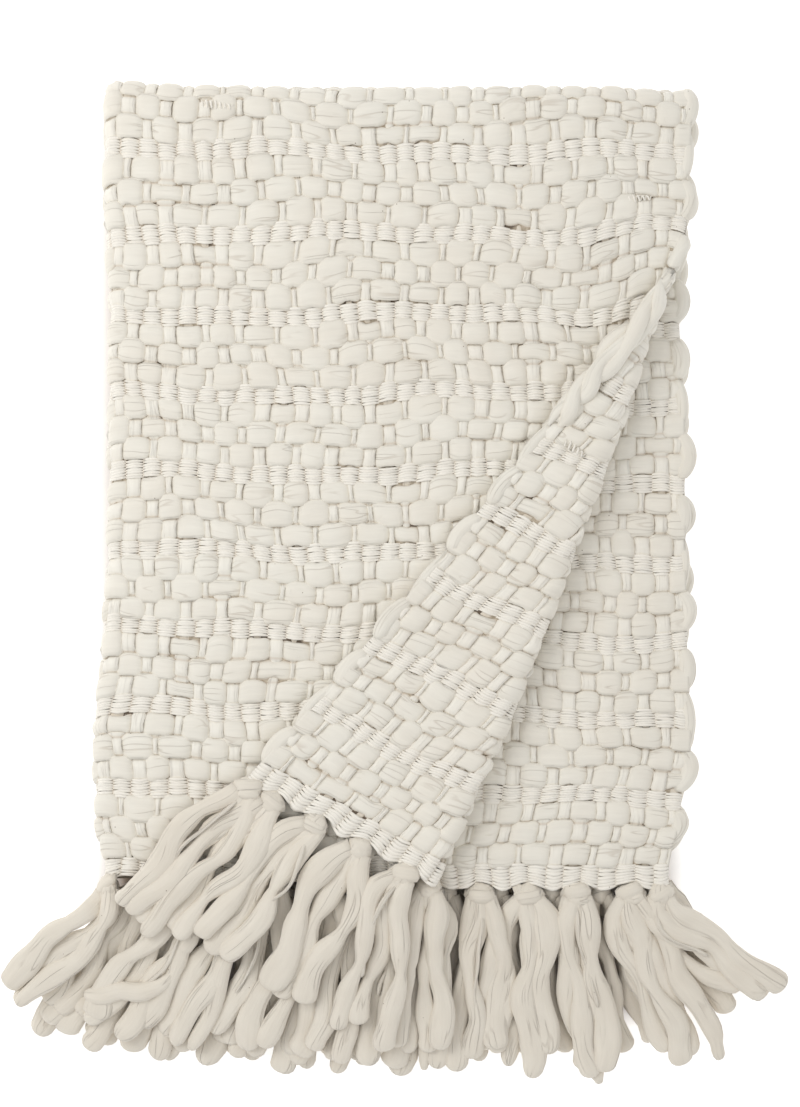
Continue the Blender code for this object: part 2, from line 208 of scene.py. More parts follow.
@dataclass(frozen=True)
class Folds:
    """How the flat cloth is folded: lengthwise, then crosswise, then one corner turned back.

    side_edges has rows of a height on the picture and the shifts of the left and right edges.
    top_edge has rows of a place across and the shift of the folded end.
    """

    width: float = 1.25
    length: float = 1.70
    half_cloth: float = 0.008
    pitch: float = 0.018
    fold_x: float = -0.2955
    cross_y: float = 0.4206
    outer_ease: float = 0.027
    inner_ease: float = 0.020
    flap_head: tuple = (0.277, 0.2256)
    flap_foot: tuple = (0.047, -0.3824)
    flap_radius: float = 0.011
    flap_shear: float = 0.25
    flap_settle: float = 0.06
    side_edges: tuple = (
        (-0.383, -0.006, -0.020),
        (-0.319, -0.015, -0.007),
        (-0.244, -0.016, 0.003),
        (-0.138, -0.007, 0.000),
        (-0.052, -0.002, -0.002),
        (0.087, -0.001, -0.003),
        (0.226, 0.000, -0.009),
        (0.333, -0.005, -0.001),
        (0.455, -0.005, 0.003),
    )
    top_edge: tuple = (
        (-0.312, 0.013),
        (-0.210, 0.006),
        (-0.136, 0.006),
        (-0.071, 0.006),
        (0.057, 0.006),
        (0.217, 0.006),
        (0.312, 0.002),
    )
    top_edge_reach: float = 0.20
    straight_selvage: float = 0.06
    straight_end: float = 0.09
    sideways_mm: tuple = (3.2, 1.4)
    lengthways_mm: tuple = (3.8, 2.0)
    pull_centre: tuple = (0.60, -0.225)
    pull_size: tuple = (0.055, 0.075)
    pull: float = 0.018
    rim_start: float = 0.22
    rim_width: float = 0.10
    rim_sink: float = 0.08
    swell: float = 0.03

    @property
    def turn_radius(self) -> float:
        """The middle radius of the lengthwise fold."""
        return self.pitch / 2

    @property
    def turn_half(self) -> float:
        """Half of the cloth's width that lies in the lengthwise fold."""
        return self.turn_radius * QUARTER_TURN

    @property
    def cross_half(self) -> float:
        """Half of the cloth's length that lies in the crosswise fold."""
        return self.outer_ease * QUARTER_TURN

    @property
    def stack_middle(self) -> float:
        """The height of the pile's middle, with two layers above it and two below."""
        return self.half_cloth + 1.5 * self.pitch

    @property
    def fringe_edge_y(self) -> float:
        """Where the folded cloth ends and the fringe begins."""
        return self.cross_y - self.length / 2 + self.cross_half

    @property
    def flap_directions(self) -> tuple[np.ndarray, np.ndarray]:
        """Which way the diagonal fold runs on the top layer.

        Returns:
            The unit vectors along the fold and away from it, in x and y.
        """
        along = np.subtract(self.flap_foot, self.flap_head)
        along = along / np.hypot(*along)
        return along, np.array((-along[1], along[0]))

    def drifted(self, across: np.ndarray, along: np.ndarray) -> tuple[np.ndarray, np.ndarray]:
        """Where the weave lies on the flat cloth, as its rows and warps drift from straight.

        Args:
            across: Places across the cloth.
            along: Places along the cloth.

        Returns:
            The drifted places across and along.
        """
        inside = smooth((self.width / 2 - np.abs(across)) / self.straight_selvage)
        within = smooth((self.length / 2 - np.abs(along)) / self.straight_end)
        broad, narrow = self.sideways_mm
        sideways = broad * np.sin(31 * along + 0.8 + 2 * np.sin(9 * across))
        sideways = sideways * np.sin(14 * across + 1.9) + narrow * np.sin(67 * along + 30 * across)
        broad, narrow = self.lengthways_mm
        lengthways = broad * np.sin(16 * across + 6 * np.sin(3.1 * along) + 0.5)
        lengthways = lengthways + narrow * np.sin(39 * across + 23 * along + 2.3)
        far = ((across - self.pull_centre[0]) / self.pull_size[0]) ** 2
        far = far + ((along - self.pull_centre[1]) / self.pull_size[1]) ** 2
        drawn = self.pull * np.exp(-far)
        return across + sideways * MM * inside, along + (lengthways * MM + drawn) * within

    def turn_back(self, x: np.ndarray, y: np.ndarray, height: np.ndarray) -> tuple:
        """Carries points of the top layer over the diagonal fold, where they lie past it.

        Args:
            x: Where they would lie on the flat top layer.
            y: Where they would lie on it, towards the crosswise fold.
            height: Their distance from the layer's middle.

        Returns:
            Three arrays, of x, y and z.
        """
        top = self.stack_middle + 1.5 * self.pitch
        way, out = self.flap_directions
        past = (x - self.flap_foot[0]) * out[0] + (y - self.flap_foot[1]) * out[1]
        on_flap = past > 0
        past = np.maximum(past, 0.0)
        angle = np.minimum(past / self.flap_radius, math.pi)
        back = np.maximum(0.0, past - self.flap_radius * math.pi)
        radius = self.flap_radius - height
        across = radius * np.sin(angle) - back - past
        along = self.flap_shear * past
        settled = (2 * self.flap_radius - self.pitch) * smooth(back / self.flap_settle)
        rise = self.flap_radius - radius * np.cos(angle) - settled
        moved_x = np.where(on_flap, x + across * out[0] + along * way[0], x)
        moved_y = np.where(on_flap, y + across * out[1] + along * way[1], y)
        return moved_x, moved_y, top + np.where(on_flap, rise, height)

    def stray(self, x: np.ndarray, y: np.ndarray, z: np.ndarray) -> np.ndarray:
        """Moves points as the whole pile strays from a neat block.

        Args:
            x: Where they lie from left to right.
            y: Where they lie from the fringe to the crosswise fold.
            z: How high they lie.

        Returns:
            The moved points, with a last axis of three.
        """
        share = np.clip((x + self.width / 4) / (self.width / 2), -0.1, 1.1)
        left, right = (from_table(self.side_edges, y, column) for column in (1, 2))
        moved_x = x + left + (right - left) * share
        drop = from_table(self.top_edge, x, 1)
        moved_y = y + drop * smooth((y - self.cross_y) / self.top_edge_reach + 1)
        rim = smooth((np.abs(x) - self.rim_start) / self.rim_width)
        swell = self.swell * np.sin(9 * x + 1.3) * np.sin(8 * y + 0.6)
        risen = np.maximum(z * (1.0 - self.rim_sink * rim + swell), 0.0)
        return np.stack((moved_x, moved_y, risen), axis=-1)

    def place(self, across: Numbers, along: Numbers, height: Numbers) -> np.ndarray:
        """Where points of the flat cloth lie once the throw is folded.

        Args:
            across: Distance from the lengthwise fold, growing towards the top layer's selvage.
            along: Distance from the crosswise fold, negative towards the upper fringe.
            height: Distance from the cloth's middle towards the outside of the pile.

        Returns:
            Points in metres, with a last axis of three.
        """
        across, along, height = np.broadcast_arrays(across, along, height)
        across, along = self.drifted(across, along)
        turn = np.clip(across / self.turn_radius, -QUARTER_TURN, QUARTER_TURN)
        x = self.fold_x - (self.turn_radius + height) * np.cos(turn)
        x = x + np.maximum(0.0, np.abs(across) - self.turn_half)
        radius = self.pitch + (self.turn_radius + height) * np.sin(turn)
        ease = (self.outer_ease + self.inner_ease) / 2
        ease = ease + (self.outer_ease - self.inner_ease) / 2 * np.sin(turn)
        lean = np.clip(along / ease, -QUARTER_TURN, QUARTER_TURN)
        y = self.cross_y + radius * np.cos(lean)
        y = y - np.maximum(0.0, np.abs(along) - ease * QUARTER_TURN)
        z = self.stack_middle - radius * np.sin(lean)
        on_top = (across >= self.turn_half) & (along <= -self.cross_half)
        turned = self.turn_back(x, y, height)
        return self.stray(*(np.where(on_top, new, old) for new, old in zip(turned, (x, y, z))))


@dataclass
class Tubes:
    """Closed tubes gathered into one mesh, with each point's place on its yarn."""

    verts: list = field(default_factory=list)
    corners: list = field(default_factory=list)
    sizes: list = field(default_factory=list)
    uvs: list = field(default_factory=list)
    tones: list = field(default_factory=list)
    unshaded_shares: list = field(default_factory=list)
    count: int = 0
    cord_squareness: float = 0.95
    cord_end: float = 0.12

    def add(
        self, points: np.ndarray, lengthwise: np.ndarray, tone: np.ndarray | list, unshaded_share: np.ndarray
    ) -> None:
        """Adds tubes that all have the same number of rings and points.

        Args:
            points: Array of (tubes, rings, around, 3).
            lengthwise: Distance along the yarn, of (tubes, rings) or anything that fits it.
            tone: One value from 0 to 1 for each tube.
            unshaded_share: How far each point stands out of the cloth, from 0 to 1.
        """
        tubes, rings, around, _ = points.shape
        lengthwise = np.broadcast_to(lengthwise, (tubes, rings))
        # Points that stand little out of the cloth, or face down, get painted shade from the finish.
        unshaded_share = np.broadcast_to(unshaded_share, (tubes, rings, around))
        tone = np.broadcast_to(np.asarray(tone, dtype=float)[:, None, None], (tubes, rings, around))
        index = self.count + np.arange(tubes * rings * around).reshape(tubes, rings, around)
        following = np.roll(index, -1, axis=2)
        quads = np.stack((index[:, :-1], following[:, :-1], following[:, 1:], index[:, 1:]), axis=-1)
        low = np.broadcast_to(np.arange(around) / around, (tubes, rings - 1, around))
        high = low + 1 / around
        here = np.broadcast_to(lengthwise[:, :-1, None], low.shape)
        there = np.broadcast_to(lengthwise[:, 1:, None], low.shape)
        u = np.stack((here, here, there, there), axis=-1)
        v = np.stack((low, high, high, low), axis=-1)
        caps = np.concatenate((index[:, 0, ::-1], index[:, -1, :]))
        cap_u = np.concatenate((lengthwise[:, :1], lengthwise[:, -1:])).repeat(around, axis=1)
        cap_v = np.broadcast_to(np.arange(around) / around, caps.shape)
        self.verts.append(points.reshape(-1, 3))
        self.tones.append(tone.reshape(-1))
        self.unshaded_shares.append(unshaded_share.reshape(-1))
        self.corners += [quads.reshape(-1), caps.reshape(-1)]
        self.sizes += [np.full(quads.size // 4, 4), np.full(len(caps), around)]
        pairs = ((u, v), (cap_u, cap_v))
        self.uvs += [np.stack((one.reshape(-1), two.reshape(-1)), axis=-1) for one, two in pairs]
        self.count += tubes * rings * around

    def add_cord(
        self, path: np.ndarray, wide: Numbers, tall: Numbers, around: int, tone: float,
        phase: float, up: np.ndarray = UP,
    ) -> None:
        """Adds a tube along a path, which can be wider across than it is tall.

        Args:
            path: Its middle line, of (rings, 3).
            wide: Half its width, for each ring or for all.
            tall: Half its height, for each ring or for all.
            around: How many points it has around.
            tone: A value from 0 to 1 that sets its shade and its fibres.
            phase: Where on a long yarn it begins, so that no two cords match.
            up: Which way its height is measured.
        """
        rings = len(path)
        forward = unit(np.gradient(path, axis=0))
        across = unit(np.cross(forward, up))
        lift_way = np.cross(across, forward)
        side, lift = outline(around, self.cord_squareness)
        ends = np.sqrt(np.clip(1 - np.abs(np.linspace(-1, 1, rings)) ** 8, self.cord_end, 1))
        wide = np.broadcast_to(wide, rings) * ends
        tall = np.broadcast_to(tall, rings) * ends
        points = path[:, None] + (wide[:, None] * side)[..., None] * across[:, None]
        points = points + (tall[:, None] * lift)[..., None] * lift_way[:, None]
        points[..., 2] = np.maximum(points[..., 2], 0.0)
        steps = np.concatenate(([0], np.cumsum(np.linalg.norm(np.diff(path, axis=0), axis=1))))
        unshaded_share = loose_unshaded_share(lift * np.sign(lift_way[:, 2:3]))
        self.add(points[None], steps[None] + phase, [tone], unshaded_share[None])

    def build(self, name: str, material: bpy.types.Material, slot: str) -> bpy.types.Object:
        """Makes the mesh and its piece.

        Args:
            name: The piece's name.
            material: Its finish.
            slot: A material slot's name, which is not used.

        Returns:
            The new object.
        """
        verts = np.concatenate(self.verts).astype(np.float32)
        corners = np.concatenate(self.corners).astype(np.int32)
        sizes = np.concatenate(self.sizes)
        starts = np.concatenate(([0], np.cumsum(sizes)[:-1])).astype(np.int32)
        mesh = bpy.data.meshes.new(name)
        mesh.vertices.add(len(verts))
        mesh.vertices.foreach_set("co", verts.reshape(-1))
        mesh.loops.add(len(corners))
        mesh.loops.foreach_set("vertex_index", corners)
        mesh.polygons.add(len(starts))
        mesh.polygons.foreach_set("loop_start", starts)
        uv = mesh.uv_layers.new(name="yarn")
        uv.data.foreach_set("uv", np.concatenate(self.uvs).astype(np.float32).reshape(-1))
        # The second attribute sets how much painted shade each point gets.
        for label, values in (("tone", self.tones), ("unshaded_share", self.unshaded_shares)):
            attribute = mesh.attributes.new(label, "FLOAT", "POINT")
            attribute.data.foreach_set("value", np.concatenate(values).astype(np.float32))
        return finish_piece(mesh, material)


class Detail(Enum):
    """How finely a stretch of cloth is drawn: steps per warp, points round a yarn, of each kind."""

    FINE = (7, 11, 4, 4, 8)
    PLAIN = (3, 7, 2, 3, 5)
    COARSE = (2, 6, 2, 3, 4)

    def __init__(
        self, steps: int, around: int, thin_steps: int, thin_around: int, warp_around: int
    ) -> None:
        """Names the five numbers.

        Args:
            steps: Rings for each warp that a thick weft crosses.
            around: Points round a thick weft.
            thin_steps: Rings for each warp that a thin weft crosses.
            thin_around: Points round a thin weft.
            warp_around: Points round a warp.
        """
        self.steps = steps
        self.around = around
        self.thin_steps = thin_steps
        self.thin_around = thin_around
        self.warp_around = warp_around


@dataclass(frozen=True)
class Patch:
    """A stretch of cloth: between two warps, between two places along it, and its detail."""

    name: str
    first_warp: float
    last_warp: float
    start: float
    end: float
    detail: Detail
    bands: bool = True
    first_tassel: float = 0.0275

    def steps(self, a_warp: int) -> np.ndarray:
        """The warps' numbers and places between them at which a yarn gets a ring, as one row."""
        count = round((self.last_warp - self.first_warp) * a_warp)
        return np.linspace(self.first_warp, self.last_warp, count + 1)[None]


@dataclass
class WovenCloth:
    """Plain weave of thick and thin rows over warps of very uneven roving.

    A pair of sizes is a mean and how far it strays. zones has rows of a warp's number and how much
    fuller the warps are there. float_shape has the stations of a warp's float over a thick row:
    where, in rows, and how high, as a share.
    """

    folds: Folds = field(default_factory=Folds)
    warps: int = 64
    repeats: int = 20
    end_band: float = 0.008
    thin_picks: int = 14
    thin_pitch: float = 0.00137
    scallop: float = 0.006
    tassel_pitch: float = 0.0555
    thick_rows: int = 3
    slack_share: float = 0.09
    narrowest: float = 0.0021
    widest: float = 0.0082
    squareness: float = 0.72
    warp_jitter_mm: float = 1.3
    pillow_root_mm: float = 2.3
    pillow_rise_mm: tuple = (5.3, 0.9)
    pillow_neck: float = 0.74
    pillow_full: tuple = (1.42, 0.25)
    pillow_drift_mm: float = 0.8
    pillow_shift_mm: float = 1.5
    arc_rise_mm: tuple = (4.6, 0.45)
    band_drift_mm: float = 1.6
    band_bow_mm: float = 1.3
    pick_drift_mm: float = 0.46
    thin_half_mm: float = 1.3
    thin_swell_mm: float = 0.95
    float_rise_mm: tuple = (5.1, 0.5)
    float_flare_mm: float = 1.9
    warp_drift_mm: float = 0.9
    warp_tall_mm: float = 2.9
    band_warp_tall_mm: float = 2.1
    band_warp_half_mm: float = 4.2
    band_station: float = 0.005
    loop_inset_mm: float = 9.5
    loop_bulge_mm: tuple = (8.0, 3.0)
    loop_full_mm: tuple = (6.0, 1.4)
    carried_bulge_mm: tuple = (6.0, 2.5)
    carried_full_mm: tuple = (3.0, 1.0)
    loop_end_half_mm: float = 3.6
    loop_tallest_mm: float = 8.3
    rope_half_mm: tuple = (8.4, 1.5)
    rope_wide_mm: float = 5.6
    rope_tall_mm: float = 3.0
    rope_turns: float = 2.1
    zones: tuple = (
        (0, 0.15), (8, 0.0), (20, 0.0), (32, 0.32), (38, 0.18), (42, -0.16), (55, -0.10), (63, 0.1),
    )
    float_shape: tuple = ((-0.41, -0.3), (-0.25, 0.66), (0.0, 1.0), (0.25, 0.66), (0.41, -0.3))
    coarse_float_shape: tuple = ((-0.42, 0.3), (0.0, 1.0), (0.42, 0.3))

    def __post_init__(self) -> None:
        """Lays out the rows and warps and draws how each crossing of theirs differs."""
        rng = np.random.default_rng(41)
        count = self.warps + 2
        self.warp_pitch = self.folds.width / self.warps
        self.repeat = (self.folds.length - 2 * self.end_band) / self.repeats
        self.band = self.thin_picks * self.thin_pitch
        self.row_pitch = (self.repeat - self.band) / self.thick_rows
        jitter = rng.uniform(-self.warp_jitter_mm, self.warp_jitter_mm, count) * MM
        self.warp_places = (np.arange(count) - 0.5) * self.warp_pitch - self.folds.width / 2 + jitter
        thick, thin = [], []
        number = 0
        for step in range(self.repeats + 1):
            middle = step * self.repeat + self.end_band - self.folds.length / 2
            for pick in range(self.thin_picks):
                offset = (pick - (self.thin_picks - 1) / 2) * self.thin_pitch
                thin.append((middle + offset, number, step))
                number += 1
            if step < self.repeats:
                for row in range(self.thick_rows):
                    offset = self.band / 2 + self.row_pitch * (row + 0.5)
                    thick.append((middle + offset, number, step))
                    number += 1
        self.thick = np.array(thick)
        self.thin = np.array(thin)
        rows = len(thick)
        self.bump, self.size, self.shift = (rng.uniform(-1, 1, (rows, count)) for _ in range(3))
        self.bow = rng.uniform(-1, 1, (self.repeats + 1, count))
        slack = rng.uniform(0, 1, (rows, count)) < self.slack_share
        self.size = np.where(slack, self.size - 2.2, self.size)
        self.bump = np.where(slack, self.bump * 0.5 - 1.4, self.bump)
        self.wander = Wander(7)
        base = self.wander.at(np.arange(rows)[:, None] // 5 + 17, np.arange(count)[None] / 6.0)
        own = rng.uniform(-1, 1, count)[None]
        drift = self.wander.at(np.arange(count)[None] + 80, np.arange(rows)[:, None] / 1.7)
        zones = np.interp(np.arange(count) - 1.0, *zip(*self.zones))[None]
        share = smooth(0.47 + zones + 0.24 * base + 0.18 * own + 0.60 * drift)
        self.warp_half = self.narrowest + (self.widest - self.narrowest) * share

    def across(self, index: np.ndarray) -> np.ndarray:
        """Where a warp's number, or a place between two, lies across the cloth."""
        return np.interp(index, np.arange(self.warps + 2) - 1.0, self.warp_places)

    def column(self, index: np.ndarray) -> np.ndarray:
        """The column of the drawn values that holds the warp nearest to a place."""
        return np.clip(np.rint(index), -1, self.warps).astype(int) + 1

    def rows_in(self, rows: np.ndarray, patch: Patch) -> np.ndarray:
        """The numbers of the rows that lie in a patch."""
        return np.nonzero((rows[:, 0] >= patch.start) & (rows[:, 0] < patch.end))[0]

    def add_thick(self, tubes: Tubes, patch: Patch) -> None:
        """Adds a patch's thick wefts, which stand up as pillows between the warps.

        Args:
            tubes: Where they go.
            patch: The stretch of cloth.
        """
        rows = self.rows_in(self.thick, patch)
        row = rows[:, None]
        index = patch.steps(patch.detail.steps)
        number = self.thick[rows, 1][:, None]
        over = number + 2 * np.rint((index - number) / 2)
        under = number + 1 + 2 * np.rint((index - number - 1) / 2)
        over_column, under_column = self.column(over), self.column(under)
        faces = []
        for middle, own, other in (
            (over, over_column, under_column),
            (under, under_column, over_column),
        ):
            span = 1 - 0.92 * self.warp_half[row, other] / self.warp_pitch
            place = np.minimum(np.abs(index - middle) / span, 1.0)
            rise = self.pillow_rise_mm[0] + self.pillow_rise_mm[1] * self.bump[row, own]
            height = self.pillow_root_mm + rise * (1 - place**3) ** 0.5
            full = self.pillow_full[0] + self.pillow_full[1] * self.size[row, own]
            reach = self.pillow_neck + (full - self.pillow_neck) * (1 - place**2.2) ** 0.5
            faces.append((height * MM, reach * self.row_pitch / 2))
        (top, top_reach), (bottom, bottom_reach) = faces
        thick = 1 + 0.06 * self.wander.at(row + 3, index / 5.0 + 0.3 * row)
        drift = self.pillow_drift_mm * MM * self.wander.at(row + 140, index / 4.3)
        along = self.thick[rows, 0][:, None] + drift
        lean = (1 + np.cos(math.pi * (index - number))) / 2
        shift = self.shift[row, over_column] * lean + self.shift[row, under_column] * (1 - lean)
        along = along + self.pillow_shift_mm * MM * shift
        side, lift = outline(patch.detail.around, self.squareness)
        weight = (1 + lift) / 2
        reach = bottom_reach[..., None] + (top_reach - bottom_reach)[..., None] * weight
        v = along[..., None] + reach * thick[..., None] * side
        h = (top - bottom)[..., None] / 2 + (top + bottom)[..., None] / 2 * lift
        u = self.across(index)[..., None]
        lengthwise = self.across(index) + row * 1.7
        tones = self.wander.tones(rows, 0.37)
        tubes.add(self.folds.place(u, v, h), lengthwise, tones, woven_unshaded_share(h, 1.0, 4.6))

    def add_thin(self, tubes: Tubes, patch: Patch) -> None:
        """Adds a patch's thin wefts, which lie in bands of small arcs.

        Args:
            tubes: Where they go.
            patch: The stretch of cloth.
        """
        rows = self.rows_in(self.thin, patch)
        row = rows[:, None]
        index = patch.steps(patch.detail.thin_steps)
        number = self.thin[rows, 1][:, None]
        band = self.thin[rows, 2][:, None].astype(int)
        wave = np.cos(math.pi * (index - number))
        flat = np.sign(wave) * np.abs(wave) ** 0.75
        rise, stray = self.arc_rise_mm
        height = (rise + stray * self.wander.at(row, index * 0.7)) * MM * flat
        along = self.thin[rows, 0][:, None]
        along = along + self.band_drift_mm * MM * self.wander.at(band + 200, index / 5)
        along = along + self.band_bow_mm * MM * self.bow[band, self.column(index)] * wave**2
        along = along + self.pick_drift_mm * MM * self.wander.at(row + 60, index * 1.5)
        reach = np.abs(self.across(index)) - patch.first_tassel
        droop = self.scallop * (0.5 - 0.5 * np.cos(FULL_TURN * reach / self.tassel_pitch))
        last = band == self.repeats
        at_end = last | (band == 0)
        pick = row % self.thin_picks
        edge = np.where(last, pick, self.thin_picks - 1 - pick) / (self.thin_picks - 1)
        drawn = np.where(last, 1, -1) * droop * (0.1 + 1.1 * edge)
        along = along + np.where(at_end, drawn, 0.0)
        half = (self.thin_half_mm + self.thin_swell_mm * np.abs(wave)) * MM
        half = half + np.where(at_end, 0.10 * droop, 0.0)
        half = half * (1.04 + 0.08 * self.wander.at(row + 170, index * 1.1))
        side, lift = outline(patch.detail.thin_around, 1.0)
        v = along[..., None] + half[..., None] * side
        h = height[..., None] + self.thin_half_mm * MM * lift
        u = self.across(index)[..., None]
        lengthwise = self.across(index) + row * 1.3
        tones = self.wander.tones(rows, 0.71)
        tubes.add(self.folds.place(u, v, h), lengthwise, tones, woven_unshaded_share(h, 0.5, 4.0))

    def warp_stations(self, patch: Patch) -> np.ndarray:
        """The places along a patch's warps at which they get a ring.

        Args:
            patch: The stretch of cloth.

        Returns:
            Rows of a place along the cloth, the thick row, the height's share and the row's number
            in the weave, which is -1 in a band.
        """
        shape = self.coarse_float_shape if patch.detail is Detail.COARSE else self.float_shape
        rows = self.rows_in(self.thick, patch)
        gap = (self.row_pitch + self.band) / 2
        stations = [(self.thick[rows[0], 0] - gap, rows[0], 0.0, -1)]
        for row in rows:
            middle, number, _ = self.thick[row]
            for offset, share in shape:
                beside_band = row % self.thick_rows == (0 if offset < 0 else self.thick_rows - 1)
                share = max(share, 0.3) if beside_band else share
                stations.append((middle + offset * self.row_pitch, row, share, number))
            if (row + 1) % self.thick_rows == 0:
                for beside in (-self.band_station, self.band_station):
                    stations.append((middle + gap + beside, row, 0.0, -1))
        return np.array(stations)

    def add_warps(self, tubes: Tubes, patch: Patch) -> None:
        """Adds a patch's warps, which show as floats between the pillows.

        Args:
            tubes: Where they go.
            patch: The stretch of cloth.
        """
        numbers = np.arange(math.floor(patch.first_warp) + 1, math.floor(patch.last_warp) + 1)
        numbers = numbers[(numbers >= 0) & (numbers < self.warps)]
        place, row, share, number = self.warp_stations(patch).T
        row = row.astype(int)
        warp = numbers[:, None] + 1
        in_band = number[None] < 0
        sign = np.where((numbers[:, None] - number[None]) % 2 == 0, -1.0, 1.0)
        sign = np.where(in_band, 0.0, sign)
        rise, stray = self.float_rise_mm
        height = sign * share[None] * (rise + stray * self.bump[row[None], warp]) * MM
        flare = self.float_flare_mm * MM * (1 - share[None])
        half = self.warp_half[row[None], warp] * 0.9 + flare
        half = np.where(in_band, self.band_warp_half_mm * MM, half)
        thick = np.where(in_band, self.band_warp_tall_mm, self.warp_tall_mm) * MM
        side, lift = outline(patch.detail.warp_around, 0.85)
        middle = self.across(numbers)[:, None]
        middle = middle + self.warp_drift_mm * MM * self.wander.at(warp + 30, row[None] / 1.7)
        u = middle[..., None] + half[..., None] * side
        h = height[..., None] + thick[..., None] * lift
        v = place[None, :, None]
        lengthwise = place[None] + numbers[:, None] * 2.1
        tones = self.wander.tones(numbers, 0.53)
        tubes.add(self.folds.place(u, v, h), lengthwise, tones, woven_unshaded_share(h, 0.8, 4.6))

    def add_selvage(self, tubes: Tubes, side: int, start: float, end: float) -> None:
        """Adds the fat loops in which the thick weft turns back at a selvage.

        Args:
            tubes: Where they go.
            side: 1 for the top layer's selvage, -1 for the second layer's.
            start: Where along the cloth they begin.
            end: Where they end.
        """
        rings, around = 13, 9
        rng = np.random.default_rng(90 + side)
        turn = np.linspace(-1, 1, rings)
        ring_side, ring_lift = outline(around, 0.9)
        for row in range(0 if side > 0 else 1, len(self.thick) - 1, 2):
            low, high = self.thick[row, 0], self.thick[row + 1, 0]
            grown = rng.uniform(-1, 1, 4)
            if not start <= (low + high) / 2 < end:
                continue
            carried = high - low > 1.5 * self.row_pitch
            along = (low + high) / 2 + ((high - low) / 2 + (11 + 3 * grown[3]) * MM) * turn
            mean, stray = self.carried_bulge_mm if carried else self.loop_bulge_mm
            bulge = (mean + stray * grown[0]) * MM
            across = self.folds.width / 2 - self.loop_inset_mm * MM + bulge * (1 - turn**2)
            mean, stray = self.carried_full_mm if carried else self.loop_full_mm
            full = (mean + stray * grown[1]) * MM
            half = self.loop_end_half_mm * MM + full * (1 - np.abs(turn) ** 2.6) ** 0.5
            tangent = unit(np.stack((np.gradient(across), np.gradient(along)), axis=-1))
            u = across[:, None] + half[:, None] * tangent[:, 1:] * ring_side
            v = along[:, None] - half[:, None] * tangent[:, :1] * ring_side
            middle = (grown[2] * 1.2 + grown[3] * 2.6 * turn) * MM
            tall = np.minimum(half * 1.05, self.loop_tallest_mm * MM)
            h = middle[:, None] + tall[:, None] * ring_lift
            points = self.folds.place(side * u, v, h)
            unshaded_share = np.clip(0.66 + 0.4 * np.abs(ring_lift), 0, 1)
            tubes.add(points[None], along[None] + row, [rng.uniform()], unshaded_share)

    def add_rope(self, tubes: Tubes, start: float, end: float) -> None:
        """Adds the two twisted ends of thick yarn that run along the turned-back selvage.

        Args:
            tubes: Where they go.
            start: Where along the cloth they begin.
            end: Where they end.
        """
        rings, around = 61, 10
        share = np.linspace(0.0, 1.0, rings)
        along = start + (end - start) * share
        inset = (6 + 9 * np.sin(math.pi * np.minimum(share * 1.6, 1.0))) * MM
        middle = self.folds.place(self.folds.width / 2 - inset, along, 0.0)
        middle[:, 2] += (4.0 + 4.5 * np.sin(math.pi * share)) * MM
        sideways = unit(np.cross(np.gradient(middle, axis=0), UP))
        for ply in range(2):
            turn = FULL_TURN * (share * self.rope_turns + ply / 2) + 0.5 * np.sin(9 * share)
            path = middle + self.rope_wide_mm * MM * np.cos(turn)[:, None] * sideways
            path = path + self.rope_tall_mm * MM * np.sin(turn)[:, None] * UP
            mean, stray = self.rope_half_mm
            half = (mean + stray * np.sin(21 * share + 2 * ply)) * MM
            half = half * (0.45 + 0.55 * smooth(share / 0.15) * smooth((1 - share) / 0.15))
            tubes.add_cord(path, half, half * 0.85, around, 0.3 + 0.4 * ply, 3.0 * ply)


@dataclass(frozen=True)
class LooseCoil:
    """A few turns of thin yarn that stand out of the weave.

    The centre is in the part's frame, the heading in degrees from +X towards +Y.
    """

    centre: tuple
    heading: float
    length: float = 0.034
    radius: float = 0.0042
    turns: int = 7
    half: float = 0.0012
    rings_a_turn: int = 9

    def add(self, tubes: Tubes) -> None:
        """Adds the coil to a mesh of tubes.

        Args:
            tubes: Where it goes.
        """
        share = np.linspace(0.0, 1.0, self.turns * self.rings_a_turn)
        angle = FULL_TURN * self.turns * share
        way = math.radians(self.heading)
        forward = np.array((math.cos(way), math.sin(way), 0.0))
        aside = np.array((-math.sin(way), math.cos(way), 0.0))
        radius = self.radius * (0.8 + 0.2 * np.sin(5 * share))
        path = np.array(self.centre) + ((share - 0.5) * self.length)[:, None] * forward
        path = path + (radius * np.cos(angle))[:, None] * aside
        path[:, 2] += 0.45 * radius * np.sin(angle)
        tubes.add_cord(path, self.half, self.half, 5, 0.5, self.turns)


@dataclass(frozen=True)
class Fuzz:
    """Single curled fibres that stand out of the yarns' surface on the sides that show.

    areas has rows of two places across the cloth, two along it, and the share of the fibres.
    """

    folds: Folds = field(default_factory=Folds)
    count: int = 340
    half: float = 0.00011
    longest: float = 0.011
    areas: tuple = ((0.01, 0.625, -0.84, 0.01, 0.7), (-0.625, -0.32, -0.84, 0.01, 0.3))

    def add(self, tubes: Tubes) -> None:
        """Adds the fibres to a mesh of tubes.

        Args:
            tubes: Where they go.
        """
        rng = np.random.default_rng(311)
        share = np.linspace(0.0, 1.0, 4)
        for low, high, start, end, part in self.areas:
            for _ in range(round(self.count * part)):
                length = self.longest * rng.uniform(0.45, 1.0)
                way = rng.uniform(0, FULL_TURN)
                curl = way + rng.uniform(-2.4, 2.4) * share
                across = rng.uniform(low, high) + length * share * np.cos(curl)
                along = rng.uniform(start, end) + length * share * np.sin(curl)
                height = (6.0 + rng.uniform(1.5, 4.0) * np.sin(share * 2.6)) * MM
                path = self.folds.place(across, along, height)
                tubes.add_cord(path, self.half, self.half, 3, rng.uniform(), 0.0)


